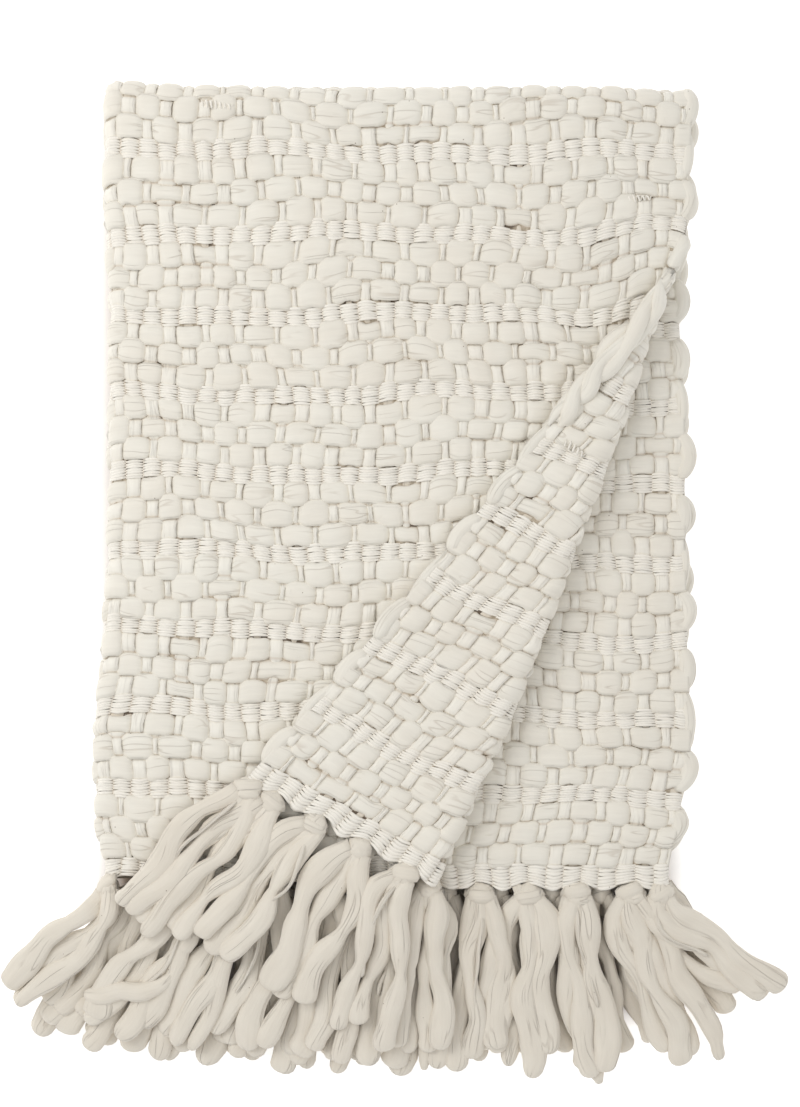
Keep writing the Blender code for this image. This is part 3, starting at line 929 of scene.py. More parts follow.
@dataclass(frozen=True)
class GroundCloth:
    """The fold of cloth that the yarns lie in: a thin closed sheet that shows only in the gaps."""

    folds: Folds = field(default_factory=Folds)
    half: float = 0.0007
    inset: float = 0.003
    side_steps: int = 33
    end_steps: int = 47
    turn_steps: int = 8
    cross_steps: int = 14

    @staticmethod
    def stations(fold: float, end: float, fold_steps: int, steps: int) -> np.ndarray:
        """Places from one end over a fold to the other.

        Args:
            fold: How far the fold reaches from the middle.
            end: How far the cloth reaches from the middle.
            fold_steps: How many steps the fold takes.
            steps: How many steps each side of it takes.

        Returns:
            The places in rising order.
        """
        flat = np.linspace(fold, end, steps + 1)[1:]
        return np.concatenate((-flat[::-1], np.linspace(-fold, fold, fold_steps + 1), flat))

    def build(self, material: bpy.types.Material) -> bpy.types.Object:
        """Makes the sheet.

        Args:
            material: Its finish.

        Returns:
            The new object.
        """
        folds = self.folds
        reach, end = folds.width / 2 - self.inset, folds.length / 2 - self.inset
        across = self.stations(folds.turn_half, reach, self.turn_steps, self.side_steps)
        along = self.stations(folds.cross_half, end, self.cross_steps, self.end_steps)
        u, v = np.meshgrid(across, along, indexing="ij")
        sheets = [folds.place(u, v, height) for height in (self.half, -self.half)]
        index = np.arange(u.size).reshape(u.shape)
        grid = np.stack((index[:-1, :-1], index[1:, :-1], index[1:, 1:], index[:-1, 1:]), axis=-1)
        rim = np.array([*index[0], *index[1:, -1], *index[-1, -2::-1], *index[-2:0:-1, 0]])
        following = np.roll(rim, -1)
        edge = np.stack((rim, following, following + u.size, rim + u.size), axis=-1)
        faces = np.concatenate((grid.reshape(-1, 4), grid[..., ::-1].reshape(-1, 4) + u.size, edge))
        mesh = bpy.data.meshes.new("ground_cloth")
        points = np.concatenate([sheet.reshape(-1, 3) for sheet in sheets])
        mesh.from_pydata(points.tolist(), [], faces.tolist())
        return finish_piece(mesh, material)


@dataclass(frozen=True)
class FringeLayer:
    """One layer's tassels: which half and end of the cloth, its level, and how the tassels lie.

    The fans have rows of a tassel's number and its heading in degrees, lengths rows of a tassel's
    number and its share of the full length. node names the solid that the piece stands for.
    """

    name: str
    node: str
    side: int
    end: int
    level: int
    start: float
    strands: int
    rings: int
    around: int
    fan: tuple
    flap_fan: tuple = ()
    flap_from: int = 99
    lengths: tuple = ((0, 1.0), (9, 1.0), (10, 0.88))


@dataclass(frozen=True)
class Strand:
    """One strand of a tassel, with its angles in radians from straight down the photo."""

    start: np.ndarray
    first: float
    angle: float
    spread: float
    level: float
    seed: int
    longer: float
    slim: float = 1.0


@dataclass(frozen=True)
class Fringe:
    """Knotted tassels of loose roving.

    Angles are in degrees. turned_by, spread_until and full_by are distances from a strand's start
    by which it has its own heading, lies beside its neighbours and has its full width.
    laid_strand has rows of x, y, z and half width.
    """

    folds: Folds = field(default_factory=Folds)
    pitch: float = 0.0555
    last_inset: float = 0.0115
    least_pitch: float = 0.028
    reach: float = 0.20
    root_distance: float = 0.0125
    root_reach: float = 0.0075
    root_half: float = 0.0065
    length: float = 0.186
    tip_half: float = 0.0045
    level_step: float = 0.0115
    half_width: float = 0.0128
    turned_by: float = 0.045
    spread_until: float = 0.09
    lap: float = 0.0022
    full_by: float = 0.03
    blunt_from: float = 0.94
    corner_shift: float = 0.020
    spread: float = 17.0
    sway: float = 17.0
    ripple: float = 5.0
    veer: float = 6.0
    wisp_curl: float = 14.0
    wisp_level: float = 0.42
    wisp_length: float = 0.66
    wisp_slim: float = 0.2
    laid_tall: float = 0.0075
    laid_strand: tuple = (
        (-0.221, -0.432, 0.052, 0.0040),
        (-0.225, -0.462, 0.052, 0.0035),
        (-0.236, -0.490, 0.052, 0.0040),
        (-0.252, -0.508, 0.052, 0.0080),
        (-0.275, -0.517, 0.051, 0.0110),
        (-0.298, -0.514, 0.049, 0.0100),
        (-0.320, -0.522, 0.046, 0.0120),
        (-0.338, -0.519, 0.043, 0.0095),
    )

    def centres(self, layer: FringeLayer) -> np.ndarray:
        """Where a layer's tassels are across the cloth.

        Args:
            layer: The layer.

        Returns:
            A place for each tassel, from the cloth's middle outwards.
        """
        last = self.folds.width / 2 - self.last_inset
        count = int((last - self.least_pitch - layer.start) / self.pitch) + 1
        centres = np.append(layer.start + self.pitch * np.arange(count), last)
        centres[0] -= self.corner_shift if layer.flap_fan else 0.0
        return layer.side * centres

    def root(self, across: float, end: int) -> tuple[np.ndarray, ...]:
        """A tassel's root on the folded cloth.

        Args:
            across: Where it is across the cloth.
            end: -1 or 1 for the end of the cloth.

        Returns:
            Its point, and its sideways, upward and outward unit vectors.
        """
        along = end * (self.folds.length / 2 + 0.001)
        step = 0.002
        offsets = ((0, 0, 0), (step, 0, 0), (0, 0, step), (0, end * step, 0))
        points = [self.folds.place(across + a, along + b, c) for a, b, c in offsets]
        return points[0], *(unit(point - points[0]) for point in points[1:])

    def heights(self, level: float, y: np.ndarray) -> tuple[np.ndarray, np.ndarray]:
        """How high a strand lies as it runs out.

        Args:
            level: How many layers lie below it.
            y: Its places towards the crosswise fold.

        Returns:
            Its middle heights and half its thickness.
        """
        share = smooth((self.folds.fringe_edge_y - y) / self.reach)
        half = self.root_half + (self.tip_half - self.root_half) * share
        root = self.folds.half_cloth + self.folds.pitch * level
        tip = self.tip_half + self.level_step * level
        return root + (tip - root) * share, half

    def turned(
        self, strand: Strand, distance: np.ndarray, share: np.ndarray, rng: np.random.Generator
    ) -> np.ndarray:
        """Which way a strand heads along its length.

        Args:
            strand: The strand.
            distance: Distances from its start.
            share: The same as shares of its length.
            rng: What its waves are drawn from.

        Returns:
            Angles in radians, one for each distance.
        """
        turned = strand.first + (strand.angle - strand.first) * smooth(distance / self.turned_by)
        turned = turned + strand.spread * (1 - smooth(distance / self.spread_until))
        sway = math.radians(self.sway) * rng.uniform(0.4, 1)
        turned = turned + sway * np.sin(distance * rng.uniform(38, 62) + phase(rng))
        turned = turned + math.radians(self.ripple) * np.sin(distance * 120 + phase(rng))
        return turned + math.radians(self.veer) * rng.uniform(-1, 1) * share

    def add_strand(self, tubes: Tubes, layer: FringeLayer, strand: Strand) -> None:
        """Adds one wavy strand that leaves a knot and settles on what lies below.

        Args:
            tubes: Where it goes.
            layer: The layer that it belongs to.
            strand: Its start, way and size.
        """
        rng = np.random.default_rng(strand.seed)
        share = np.append(np.linspace(0.0, 0.95, layer.rings - 3), (0.972, 0.989, 0.998))
        distance = share * self.length * strand.longer * (1 + 0.09 * rng.uniform(-1, 1))
        turned = self.turned(strand, distance, share, rng)
        ways = np.stack((np.sin(turned), -np.cos(turned)), axis=-1)
        moves = (ways[:-1] + ways[1:]) / 2 * np.diff(distance)[:, None]
        place = strand.start[:2] + np.concatenate((np.zeros((1, 2)), np.cumsum(moves, axis=0)))
        middle, half = self.heights(strand.level, place[:, 1])
        lap = self.lap * np.sin(distance * 40 + phase(rng)) * smooth(distance / 0.04)
        z = middle + lap * smooth((strand.level + 0.2) / 1.2)
        z = z + (strand.start[2] - z[0]) * (1 - smooth(distance / self.full_by))
        pinch = np.abs(np.sin(distance * rng.uniform(17, 27) + rng.uniform(0.7, 2.2)))
        uneven = 0.58 + 0.54 * pinch**0.7 + 0.09 * np.sin(distance * 110 + phase(rng))
        last = (share - self.blunt_from) / (1 - self.blunt_from)
        blunt = np.sqrt(1 - np.clip(last, 0, 0.995) ** 2)
        grown = 0.66 + 0.34 * smooth(distance / self.full_by)
        full = strand.slim * self.half_width * rng.uniform(0.82, 1.16)
        width = full * uneven * blunt * grown
        half = np.minimum(half * (0.95 + 0.12 * uneven), width * 0.95)
        half = half * np.clip(blunt * 1.1, 0.2, 1)
        z = np.maximum(z, half)
        wide = np.stack((np.cos(turned), np.sin(turned), np.zeros(layer.rings)), axis=-1)
        side, lift = outline(layer.around if strand.slim > 0.5 else 5, 0.9)
        points = np.concatenate((place, z[:, None]), axis=-1)[:, None]
        points = points + wide[:, None] * (width[:, None] * side)[..., None]
        points[..., 2] = np.maximum(points[..., 2] + half[:, None] * lift, 0.0)
        lengthwise = distance[None] + strand.seed * 0.31
        tubes.add(points[None], lengthwise, [rng.uniform()], loose_unshaded_share(lift))

    def add_knot(self, tubes: Tubes, root: tuple[np.ndarray, ...], seed: int, rough: bool) -> None:
        """Adds a knot: roving wound round the tassel's root.

        Args:
            tubes: Where it goes.
            root: The tassel's root, as root gives it.
            seed: What its unevenness is drawn from.
            rough: Whether it hardly shows and is drawn with fewer points.
        """
        rng = np.random.default_rng(seed)
        middle, side, up, away = root
        centre = middle + away * self.root_distance
        rings, around = (11, 6) if rough else (19, 8)
        size = 1.16 + 0.12 * rng.uniform(-1, 1)
        turns = np.linspace(0, FULL_TURN * 1.35, rings) + phase(rng)
        sweep = np.linspace(-1, 1, rings)
        tilt = rng.uniform(-0.7, 0.7)
        tone = rng.uniform()
        wound = (
            centre
            + (np.cos(turns) * 0.0078 * size)[:, None] * side
            + (np.sin(turns) * 0.0036 * size)[:, None] * up
            + (sweep * 0.0048 * size + tilt * np.cos(turns) * 0.007)[:, None] * away
        )
        tubes.add_cord(wound, 0.0072 * size, 0.0054 * size, around, tone, seed * 0.7, up)
        core = centre + np.linspace(-0.013, 0.014, 7)[:, None] * away
        bulge = 0.0072 + 0.0070 * np.sin(np.linspace(0.15, 3.0, 7))
        tubes.add_cord(core, bulge, bulge * 0.66, around, tone, seed * 0.7 + 0.3, up)

    def add_laid_strand(self, tubes: Tubes) -> None:
        """Adds the strand that lies crosswise over the others' ends at the lower left.

        Args:
            tubes: Where it goes.
        """
        table = np.array(self.laid_strand)
        rings = 41
        at = np.linspace(0.0, len(table) - 1.0, rings)
        rows = np.arange(len(table))
        sharp = np.stack([np.interp(at, rows, column) for column in table.T], axis=-1)
        padded = np.pad(sharp, ((2, 2), (0, 0)), mode="edge")
        blur = np.array((1.0, 2.0, 3.0, 2.0, 1.0)) / 9
        values = sum(weight * padded[i : i + rings] for i, weight in enumerate(blur))
        half = values[:, 3]
        tubes.add_cord(values[:, :3], half, np.minimum(half, self.laid_tall), 12, 0.4, 5.0)

    def add_tassel(self, tubes: Tubes, layer: FringeLayer, number: int, across: float) -> None:
        """Adds a knot with its strands and, at every second full tassel, a thin wisp.

        Args:
            tubes: Where they go.
            layer: The layer that it belongs to.
            number: The tassel's number in the layer.
            across: Where it is across the cloth.
        """
        flapped = number >= layer.flap_from
        level = layer.level + (1 if flapped else 0)
        seed = 1000 * (layer.level + 1) + 20 * number
        root = self.root(across, layer.end)
        middle, side, _, away = root
        self.add_knot(tubes, root, seed, layer.strands < 3)
        fan = layer.flap_fan if flapped else layer.fan
        angle = math.radians(float(from_table(fan, number, 1)))
        first = math.atan2(away[0], -away[1])
        longer = float(from_table(layer.lengths, number, 1))
        start = middle + away * (self.root_distance + 0.004)
        sense = 1.0 if side[0] * math.cos(angle) + side[1] * math.sin(angle) > 0 else -1.0
        for index, place in enumerate(np.linspace(-1, 1, layer.strands)):
            begin = start + side * place * self.root_reach
            spread = math.radians(self.spread) * place * sense
            lower = level + (-0.25 if index % 2 else 0.1)
            strand = Strand(begin, first, angle, spread, lower, seed + 3 + index, longer)
            self.add_strand(tubes, layer, strand)
        if layer.strands > 2 and number % 2:
            curl = math.radians(self.wisp_curl) * (1 if number % 4 == 1 else -1)
            above, short = level + self.wisp_level, self.wisp_length * longer
            wisp = Strand(start, first, angle, curl, above, seed + 11, short, self.wisp_slim)
            self.add_strand(tubes, layer, wisp)

    def build(self, layer: FringeLayer, material: bpy.types.Material) -> bpy.types.Object:
        """Makes one layer's tassels as one piece.

        Args:
            layer: Its sizes and fan.
            material: Its finish.

        Returns:
            The new object.
        """
        tubes = Tubes()
        for number, across in enumerate(self.centres(layer)):
            self.add_tassel(tubes, layer, number, across)
        if layer.flap_fan:
            self.add_laid_strand(tubes)
        return tubes.build(layer.name, material, "fringe_wool")


class NodeGraph:
    """A short way to add nodes to a tree and link them."""

    def __init__(self, tree: bpy.types.NodeTree) -> None:
        """Keeps the tree that the nodes go into."""
        self.tree = tree

    def fill(self, node: bpy.types.Node, inputs: dict) -> bpy.types.Node:
        """Gives a node its inputs.

        Args:
            node: The node.
            inputs: A value, or the output that feeds it, for each socket's name or number.

        Returns:
            The same node.
        """
        for name, value in inputs.items():
            if isinstance(value, bpy.types.NodeSocket):
                self.tree.links.new(value, node.inputs[name])
            else:
                node.inputs[name].default_value = value
        return node

    def add(self, kind: str, inputs: dict | None = None, **properties: object) -> bpy.types.Node:
        """Adds a node.

        Args:
            kind: The node's type.
            inputs: Its inputs, as for fill.
            properties: Its settings that aren't sockets.

        Returns:
            The new node.
        """
        node = self.tree.nodes.new(kind)
        for name, value in properties.items():
            setattr(node, name, value)
        return self.fill(node, inputs or {})

    def maths(self, operation: str, first: Value, second: Value = 0.0) -> bpy.types.NodeSocket:
        """Works out one number from one or two others."""
        return self.add("ShaderNodeMath", {0: first, 1: second}, operation=operation).outputs[0]

    def spread(
        self, value: Value, low: float, high: float, to_low: float = 0.0, to_high: float = 1.0
    ) -> bpy.types.NodeSocket:
        """Maps a value from one range to another and clamps it."""
        limits = {1: low, 2: high, 3: to_low, 4: to_high}
        return self.add("ShaderNodeMapRange", {0: value, **limits}).outputs["Result"]

    def mix(
        self, share: Value, first: Value, second: Value, blend: str = "MIX"
    ) -> bpy.types.NodeSocket:
        """Mixes two colours."""
        inputs = {0: share, 6: first, 7: second}
        return self.add("ShaderNodeMix", inputs, data_type="RGBA", blend_type=blend).outputs[2]

    def noise(self, place: Value, scale: float, detail: float) -> bpy.types.NodeSocket:
        """Soft noise at a place, from 0 to 1."""
        inputs = {"Vector": place, "Scale": scale, "Detail": detail}
        return self.add("ShaderNodeTexNoise", inputs).outputs["Fac"]

    def place(self) -> bpy.types.NodeSocket:
        """Where a point lies on its object."""
        return self.add("ShaderNodeTexCoord").outputs["Object"]


def new_material(name: str) -> tuple[bpy.types.Material, NodeGraph, bpy.types.Node]:
    """Makes a material.

    Args:
        name: Its name.

    Returns:
        The material, its graph and its shader.
    """
    material = bpy.data.materials.new(name)
    material.use_nodes = True
    tree = material.node_tree
    return material, NodeGraph(tree), tree.nodes["Principled BSDF"]


class WoolEffects:
    """Node groups that the wool finishes share."""

    FLECK = (0.20, 0.14, 0.09, 1.0)

    def __init__(self) -> None:
        """Makes the groups once."""
        self.fibres = self.make_fibres()
        self.colour = self.make_colour()

    @staticmethod
    def group(name: str, inputs: tuple, outputs: tuple) -> tuple:
        """Makes an empty node group.

        Args:
            name: Its name.
            inputs: The names of its colours, then those of its numbers.
            outputs: The same for what it puts out.

        Returns:
            The group, its graph, its input sockets and its output node.
        """
        tree = bpy.data.node_groups.new(name, "ShaderNodeTree")
        for way, labels in (("INPUT", inputs), ("OUTPUT", outputs)):
            for kind, names in zip(("NodeSocketColor", "NodeSocketFloat"), labels):
                for label in names:
                    tree.interface.new_socket(label, in_out=way, socket_type=kind)
        entry, leave = (tree.nodes.new(f"NodeGroup{way}") for way in ("Input", "Output"))
        return tree, NodeGraph(tree), entry.outputs, leave

    def make_fibres(self) -> bpy.types.NodeTree:
        """Makes the fine fibres and the few creases along a yarn.

        Returns:
            The group, which puts out a height and a crease mask.
        """
        names = ("Lengthwise", "Around", "Tone", "Fineness")
        tree, graph, given, leave = self.group("wool_fibres", ((), names), ((), ("Height", "Crease")))
        angle = graph.maths("MULTIPLY", given["Around"], FULL_TURN)
        around_x = graph.maths("COSINE", angle)
        around_y = graph.maths("SINE", angle)
        shift = graph.maths("MULTIPLY", given["Tone"], 31.0)

        def yarn_noise(
            round_scale: float, long_scale: float, detail: float, offset: float
        ) -> bpy.types.NodeSocket:
            """Noise that is drawn out along the yarn.

            Args:
                round_scale: How fine it is round the yarn.
                long_scale: How fine it is along the yarn.
                detail: How many finer steps it has.
                offset: Where along the noise it begins.

            Returns:
                Its values, from 0 to 1.
            """
            scale = graph.maths("MULTIPLY", given["Fineness"], round_scale)
            x = graph.maths("MULTIPLY", around_x, scale)
            y = graph.maths("ADD", graph.maths("MULTIPLY", around_y, scale), shift)
            z = graph.maths("ADD", graph.maths("MULTIPLY", given["Lengthwise"], long_scale), offset)
            vector = graph.add("ShaderNodeCombineXYZ", {"X": x, "Y": y, "Z": z}).outputs[0]
            return graph.noise(vector, 1.0, detail)

        fine = yarn_noise(9.0, 45.0, 3.0, 0.0)
        soft = yarn_noise(2.4, 22.0, 2.0, 7.0)
        fold = yarn_noise(1.35, 7.0, 1.0, 19.0)
        crease = graph.maths("ABSOLUTE", graph.maths("SUBTRACT", fold, 0.5))
        crease = graph.spread(crease, 0.0, 0.014, 1.0, 0.0)
        fade = graph.spread(yarn_noise(0.8, 26.0, 0.0, 43.0), 0.42, 0.60)
        crease = graph.maths("MULTIPLY", crease, fade)
        fine, soft = graph.maths("MULTIPLY", fine, 0.35), graph.maths("MULTIPLY", soft, 0.65)
        sunk = graph.maths("MULTIPLY", crease, 0.55)
        height = graph.maths("SUBTRACT", graph.maths("ADD", fine, soft), sunk)
        graph.fill(leave, {"Height": height, "Crease": crease})
        return tree

    def make_colour(self) -> bpy.types.NodeTree:
        """Makes the wool's colour: paler where it stands out, with painted brown shade in the gaps, on
        undersides and in creases, painted shade on low fibres, and uneven over the throw.

        Returns:
            The group, which puts out a colour and a roughness.
        """
        colours = ("Light", "Warm", "Painted Shade")
        numbers = ("Unshaded Share", "Crease", "Tone", "Height", "Crease Shade")
        tree, graph, given, leave = self.group(
            "wool_colour", (colours, numbers), (("Color",), ("Roughness",))
        )
        place = graph.place()
        patches = graph.spread(graph.noise(place, 5.0, 3.0), 0.35, 0.65)
        spots = graph.spread(graph.noise(place, 38.0, 1.0), 0.35, 0.65)
        shares = ((patches, 0.4), (given["Tone"], 0.25), (spots, 0.35))
        first, second, third = (graph.maths("MULTIPLY", *share) for share in shares)
        blend = graph.maths("ADD", graph.maths("ADD", first, second), third)
        base = graph.mix(blend, given["Light"], given["Warm"])
        # Painted shade: mixes towards the painted shade colour where a point sinks into the weave or
        # faces down.
        shade_amount = graph.spread(given["Unshaded Share"], 0.0, 0.62, 1.0, 0.0)
        colour = graph.mix(graph.maths("POWER", shade_amount, 1.6), base, given["Painted Shade"])
        # Painted shade in the creases, as strong as the finish's crease value.
        crease_shade_share = graph.maths("MULTIPLY", given["Crease"], given["Crease Shade"])
        colour = graph.mix(crease_shade_share, colour, given["Painted Shade"])
        flecks = graph.add("ShaderNodeTexVoronoi", {"Vector": place, "Scale": 70.0})
        near = graph.spread(flecks.outputs["Distance"], 0.035, 0.055, 1.0, 0.0)
        drawn = graph.add("ShaderNodeSeparateXYZ", {"Vector": flecks.outputs["Color"]})
        rare = graph.maths("GREATER_THAN", drawn.outputs["X"], 0.86)
        fleck = graph.maths("MULTIPLY", graph.maths("MULTIPLY", near, rare), 0.75)
        colour = graph.mix(fleck, colour, self.FLECK)
        # Painted shade on low fibres and slight painted light on high ones, by the fibres' height.
        shade = graph.spread(given["Height"], 0.25, 0.75, 0.94, 1.04)
        rough = graph.spread(given["Height"], 0.2, 0.8, 0.97, 0.84)
        with_fibre_shade = graph.mix(1.0, colour, shade, "MULTIPLY")
        graph.fill(leave, {"Color": with_fibre_shade, "Roughness": rough})
        return tree


@dataclass(frozen=True)
class WoolFinish:
    """One wool finish: its colours, the third of which is painted shade, how fine its fibres are and
    how much painted shade its creases get.
    """

    name: str
    light: tuple
    warm: tuple
    painted_shade: tuple
    fineness: float = 1.0
    bump: float = 0.0009
    bump_strength: float = 0.8
    # How much painted shade the creases get.
    crease: float = 0.40
    sheen: float = 0.25
    sheen_roughness: float = 0.5
    gloss: float = 0.2

    def build(self, effects: WoolEffects) -> bpy.types.Material:
        """Makes the material.

        Args:
            effects: The shared node groups.

        Returns:
            The material.
        """
        material, graph, shader = new_material(self.name)
        uv = graph.add("ShaderNodeUVMap", uv_map="yarn").outputs["UV"]
        parts = graph.add("ShaderNodeSeparateXYZ", {"Vector": uv}).outputs
        # The second attribute sets where the finish paints shade: low values get the painted shade
        # colour.
        tone, unshaded_share = (
            graph.add("ShaderNodeAttribute", attribute_name=name).outputs["Fac"]
            for name in ("tone", "unshaded_share")
        )
        inputs = {
            "Lengthwise": parts["X"],
            "Around": parts["Y"],
            "Tone": tone,
            "Fineness": self.fineness,
        }
        fibres = graph.add("ShaderNodeGroup", inputs, node_tree=effects.fibres).outputs
        inputs = {
            "Light": (*self.light, 1.0),
            "Warm": (*self.warm, 1.0),
            "Painted Shade": (*self.painted_shade, 1.0),
            "Unshaded Share": unshaded_share,
            "Crease": fibres["Crease"],
            "Tone": tone,
            "Height": fibres["Height"],
            "Crease Shade": self.crease,
        }
        colour = graph.add("ShaderNodeGroup", inputs, node_tree=effects.colour).outputs
        inputs = {"Height": fibres["Height"], "Strength": self.bump_strength, "Distance": self.bump}
        bump = graph.add("ShaderNodeBump", inputs).outputs["Normal"]
        surface = {
            "Base Color": colour["Color"],
            "Roughness": colour["Roughness"],
            "Normal": bump,
            "Sheen Weight": self.sheen,
            "Sheen Roughness": self.sheen_roughness,
            "Specular IOR Level": self.gloss,
        }
        graph.fill(shader, surface)
        return material


@dataclass(frozen=True)
class GroundFinish:
    """Painted shade: the wool that shows in the gaps between yarns, painted dark brown, with patches of
    darker painted shadow.
    """

    # All three colours are painted shade; the third, darkest one is for hollows.
    painted_shade: tuple = (0.42, 0.35, 0.265)
    light: tuple = (0.58, 0.51, 0.41)
    hollow_shadow: tuple = (0.15, 0.115, 0.085)
    bump: float = 0.001
    bump_strength: float = 0.7
    roughness: float = 0.95
    sheen: float = 0.15

    def build(self) -> bpy.types.Material:
        """Makes the material.

        Returns:
            The material.
        """
        material, graph, shader = new_material("painted_shade_in_gaps")
        place = graph.place()
        noise = graph.noise(place, 220.0, 2.0)
        share = graph.spread(noise, 0.35, 0.65)
        colour = graph.mix(share, (*self.painted_shade, 1.0), (*self.light, 1.0))
        # Painted shadow: darker patches, as in hollows deep in the weave.
        hollow_shadow_mask = graph.spread(graph.noise(place, 34.0, 0.0), 0.54, 0.62)
        colour = graph.mix(hollow_shadow_mask, colour, (*self.hollow_shadow, 1.0))
        inputs = {"Height": noise, "Distance": self.bump, "Strength": self.bump_strength}
        surface = {
            "Base Color": colour,
            "Normal": graph.add("ShaderNodeBump", inputs).outputs["Normal"],
            "Roughness": self.roughness,
            "Sheen Weight": self.sheen,
        }
        graph.fill(shader, surface)
        return material


@dataclass(frozen=True)
class Studio:
    """A white floor, soft light from above and a camera that looks straight down.

    scale is in metres for each pixel of the picture, centre and size are in its pixels. lamps has
    rows of a name, a place, a power and a size.
    """

    scale: float = 0.001068
    centre: tuple = (397.0, 511.3)
    size: tuple = (800, 1107)
    sensor: float = 36.0
    distance: float = 2.6
    subject_height: float = 0.065
    floor_half: float = 6.0
    floor_drop: float = 0.0005
    shade_half: tuple = (0.306, 0.470)
    shade_middle: tuple = (-0.010, -0.075)
    shade_edge: float = 0.02
    shade_glow: float = 0.02
    floor_glow: float = 0.55
    shade_colour: tuple = (0.42, 0.33, 0.26, 1.0)
    floor_colour: tuple = (0.9, 0.9, 0.9, 1.0)
    lamps: tuple = (
        ("key", (-1.45, 0.65, 1.9), 21.0, 1.4),
        ("fill", (1.3, -1.0, 2.4), 5.0, 2.0),
    )
    lamp_colour: tuple = (1.0, 0.985, 0.96)
    world_strength: float = 0.67

    def build(self) -> None:
        """Adds the floor, lights, world and camera."""
        self.add_floor()
        self.add_lights()
        self.add_camera()

    def add_floor(self) -> None:
        """Adds a white floor that glows to wash out the throw's shadow; right under the throw it glows
        little, takes the shadow and is painted brown shade.
        """
        mesh = bpy.data.meshes.new("floor")
        signs = ((-1, -1), (1, -1), (1, 1), (-1, 1))
        far = self.floor_half
        mesh.from_pydata([(x * far, y * far, -self.floor_drop) for x, y in signs], [], [(0, 1, 2, 3)])
        floor = add_object("floor", mesh)
        material, graph, shader = new_material("white_floor")
        parts = graph.add("ShaderNodeSeparateXYZ", {"Vector": graph.place()}).outputs
        past = []
        for axis, middle, half in zip("XY", self.shade_middle, self.shade_half):
            offset = graph.maths("ABSOLUTE", graph.maths("ADD", parts[axis], -middle))
            past.append(graph.maths("SUBTRACT", offset, half))
        past = graph.maths("MAXIMUM", *past)
        edge = self.shade_edge
        clear = graph.spread(past, -edge, edge)
        # Painted light and shade: outside the throw the floor glows to fill in its shadow; under it the
        # floor is painted brown shade.
        surface = {
            "Base Color": graph.mix(clear, self.shade_colour, self.floor_colour),
            "Emission Color": (1, 1, 1, 1),
            "Emission Strength": graph.spread(past, -edge, edge, self.shade_glow, self.floor_glow),
            "Roughness": 1.0,
            "Specular IOR Level": 0.0,
        }
        graph.fill(shader, surface)
        mesh.materials.append(material)

    def add_lights(self) -> None:
        """Adds a broad light from the upper left, a weaker one from the right, and a white world."""
        for name, place, power, size in self.lamps:
            light = bpy.data.lights.new(name, "AREA")
            light.energy = power
            light.size = size
            light.color = self.lamp_colour
            lamp = add_object(name, light)
            lamp.location = place
            x, y, z = -np.array(place)
            lamp.rotation_euler = (
                math.atan2(math.hypot(x, y), -z), 0.0, math.atan2(y, x) - QUARTER_TURN,
            )
        world = bpy.data.worlds.new("studio")
        world.use_nodes = True
        background = world.node_tree.nodes["Background"].inputs
        background["Color"].default_value = (1, 1, 1, 1)
        background["Strength"].default_value = self.world_strength
        bpy.context.scene.world = world
        bpy.context.scene.view_settings.view_transform = "Standard"

    def add_camera(self) -> None:
        """Adds a camera over the middle of the photo's frame."""
        data = bpy.data.cameras.new("camera")
        width, height = self.size
        x = (width / 2 - self.centre[0]) * self.scale
        y = (self.centre[1] - height / 2) * self.scale
        data.sensor_width = self.sensor
        data.lens = self.sensor * self.distance / (max(self.size) * self.scale)
        camera = add_object("camera", data)
        camera.location = (x, y, self.distance + self.subject_height)
        bpy.context.scene.camera = camera


PATCHES = (
    Patch("top_layer", 31.0, 63.4, -0.851, 0.03, Detail.FINE),
    Patch("second_layer_shown", -0.4, 16.0, -0.851, 0.03, Detail.FINE, first_tassel=0.0255),
    Patch("second_layer_covered", 16.0, 31.0, -0.851, 0.03, Detail.COARSE, bands=False),
    Patch("third_layer_side", -0.4, 3.0, 0.03, 0.851, Detail.COARSE, first_tassel=0.045),
    Patch("third_layer_covered", 3.0, 31.0, 0.03, 0.851, Detail.COARSE, bands=False),
    Patch("bottom_layer", 31.0, 63.4, 0.03, 0.851, Detail.PLAIN, first_tassel=0.038),
)

LOWER_FAN = ((0, -32), (4, -10), (7, 2), (9, 18), (10, 46))

FRINGES = (
    FringeLayer(
        name="fringe_tassels_top",
        node="fringe_top_layer",
        side=1,
        end=-1,
        level=3,
        start=0.0275,
        strands=3,
        rings=27,
        around=10,
        fan=((0, -47), (1, -36), (2, -27), (5, -8), (6, -4)),
        flap_fan=((7, -10), (8, -26), (9, -38), (10, -42), (11, -42)),
        flap_from=7,
        lengths=((0, 0.86), (1, 0.98), (2, 1.0), (11, 1.0)),
    ),
    FringeLayer(
        name="fringe_tassels_second",
        node="fringe_second_layer",
        side=-1,
        end=-1,
        level=2,
        start=0.0255,
        strands=4,
        rings=27,
        around=10,
        fan=((0, -38), (5, -10), (8, 0), (9, 9), (10, 24), (11, 55)),
        lengths=((0, 0.88), (1, 1.0), (7, 1.0), (9, 1.06), (10, 1.07), (11, 0.84)),
    ),
    FringeLayer(
        name="fringe_tassels_third",
        node="fringe_third_layer",
        side=-1,
        end=1,
        level=1,
        start=0.045,
        strands=2,
        rings=17,
        around=7,
        fan=LOWER_FAN,
    ),
    FringeLayer(
        name="fringe_tassels_bottom",
        node="fringe_bottom_layer",
        side=1,
        end=1,
        level=0,
        start=0.038,
        strands=2,
        rings=17,
        around=7,
        fan=LOWER_FAN,
    ),
)

COILS = (
    LooseCoil(centre=(-0.192, 0.4330, 0.0685), heading=-6),
    LooseCoil(centre=(0.257, 0.334, 0.0655), heading=4, length=0.030, radius=0.0036, turns=6),
    LooseCoil(centre=(0.188, 0.0655, 0.089), heading=-35, length=0.026, radius=0.0040, turns=5),
)

SELVAGE_REACH = 0.85
ROPE_START, ROPE_END = -0.235, -0.40

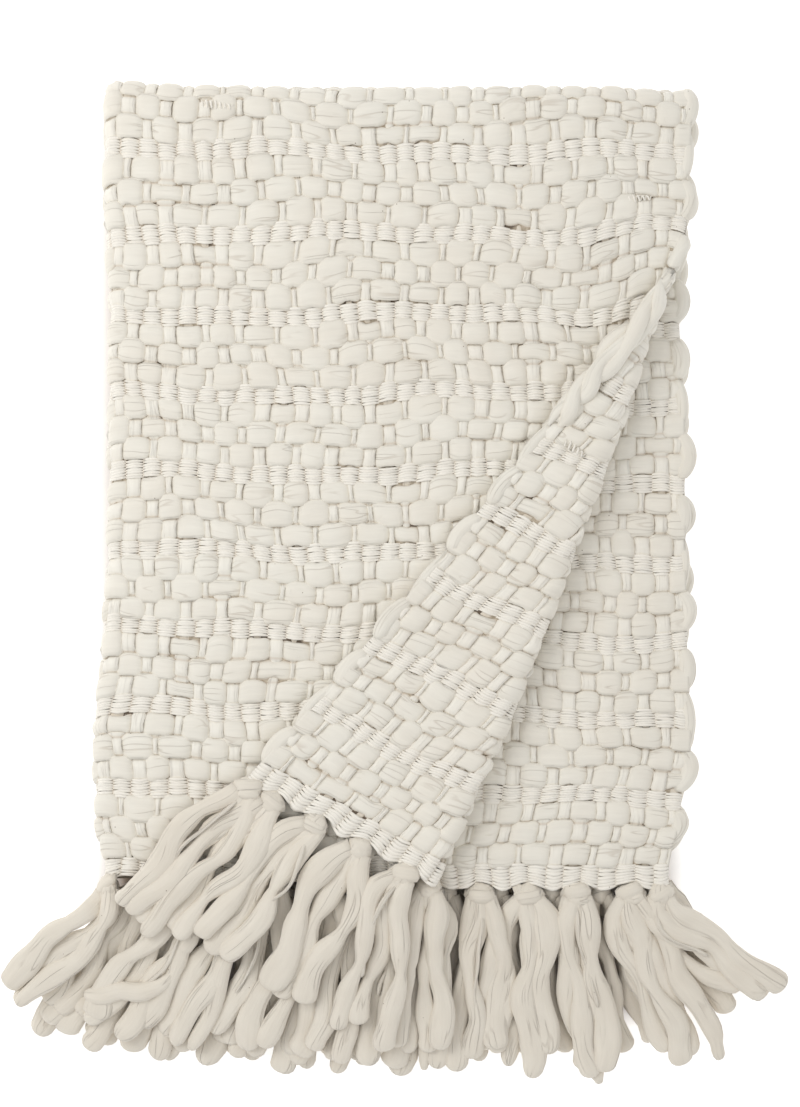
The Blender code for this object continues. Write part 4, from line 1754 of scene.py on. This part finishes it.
CREAM = WoolFinish(
    "cream_roving",
    light=(0.855, 0.827, 0.75),
    warm=(0.825, 0.778, 0.69),
    painted_shade=(0.63, 0.545, 0.445),
)
WARP = WoolFinish(
    "cream_warp",
    light=(0.905, 0.878, 0.80),
    warm=(0.88, 0.836, 0.752),
    painted_shade=(0.76, 0.68, 0.575),
    crease=0.15,
)
THIN = WoolFinish(
    "cream_thin_yarn",
    light=(0.93, 0.895, 0.82),
    warm=(0.91, 0.865, 0.785),
    painted_shade=(0.84, 0.775, 0.685),
    fineness=0.5,
    bump=0.0003,
    crease=0.0,
)
# The cloth's roving, painted darker and warmer as shade where the light falls off towards the fringe.
TASSEL = WoolFinish(
    "cream_fringe_roving",
    light=(0.81, 0.76, 0.67),
    warm=(0.76, 0.70, 0.605),
    painted_shade=(0.50, 0.41, 0.32),
    fineness=0.8,
    bump=0.0016,
    crease=0.20,
)


def woven_piece(
    name: str, material: bpy.types.Material, parts: Sequence[Callable[[Tubes], None]]
) -> bpy.types.Object:
    """Makes one piece of the cloth.

    Args:
        name: The piece's name.
        material: Its finish.
        parts: Calls that each add some tubes to it.

    Returns:
        The new object.
    """
    tubes = Tubes()
    for add in parts:
        add(tubes)
    return tubes.build(name, material, "woven_wool")


def main() -> None:
    """Builds the throw and its studio in order."""
    logging.basicConfig(level=logging.INFO, format="%(message)s")
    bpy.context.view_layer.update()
    effects = WoolEffects()
    cream, warp, thin, tassel = (finish.build(effects) for finish in (CREAM, WARP, THIN, TASSEL))
    cloth = WovenCloth()
    for patch in PATCHES:
        kinds = [("thick_wefts", cream, cloth.add_thick), ("warps", warp, cloth.add_warps)]
        if patch.bands:
            kinds.append(("thin_wefts", thin, cloth.add_thin))
        for kind, finish, add in kinds:
            woven_piece(f"{kind}_{patch.name}", finish, [partial(add, patch=patch)])
    for side, place in ((1, "outer"), (-1, "inner")):
        add = partial(cloth.add_selvage, side=side, start=-SELVAGE_REACH, end=SELVAGE_REACH)
        woven_piece(f"selvage_loops_{place}", cream, [add])
    woven_piece("loose_coils", thin, [coil.add for coil in COILS])
    woven_piece("stray_fibres", thin, [Fuzz().add])
    rope = partial(cloth.add_rope, start=ROPE_START, end=ROPE_END)
    woven_piece("twisted_selvage", cream, [rope])
    fringe = Fringe()
    tassels = [fringe.build(layer, tassel) for layer in FRINGES]
    ground = GroundCloth().build(GroundFinish().build())
    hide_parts("throw_cloth")
    for piece, layer in zip(tassels, FRINGES):
        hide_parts(layer.node)
    Studio().build()


if __name__ == "__main__":
    main()
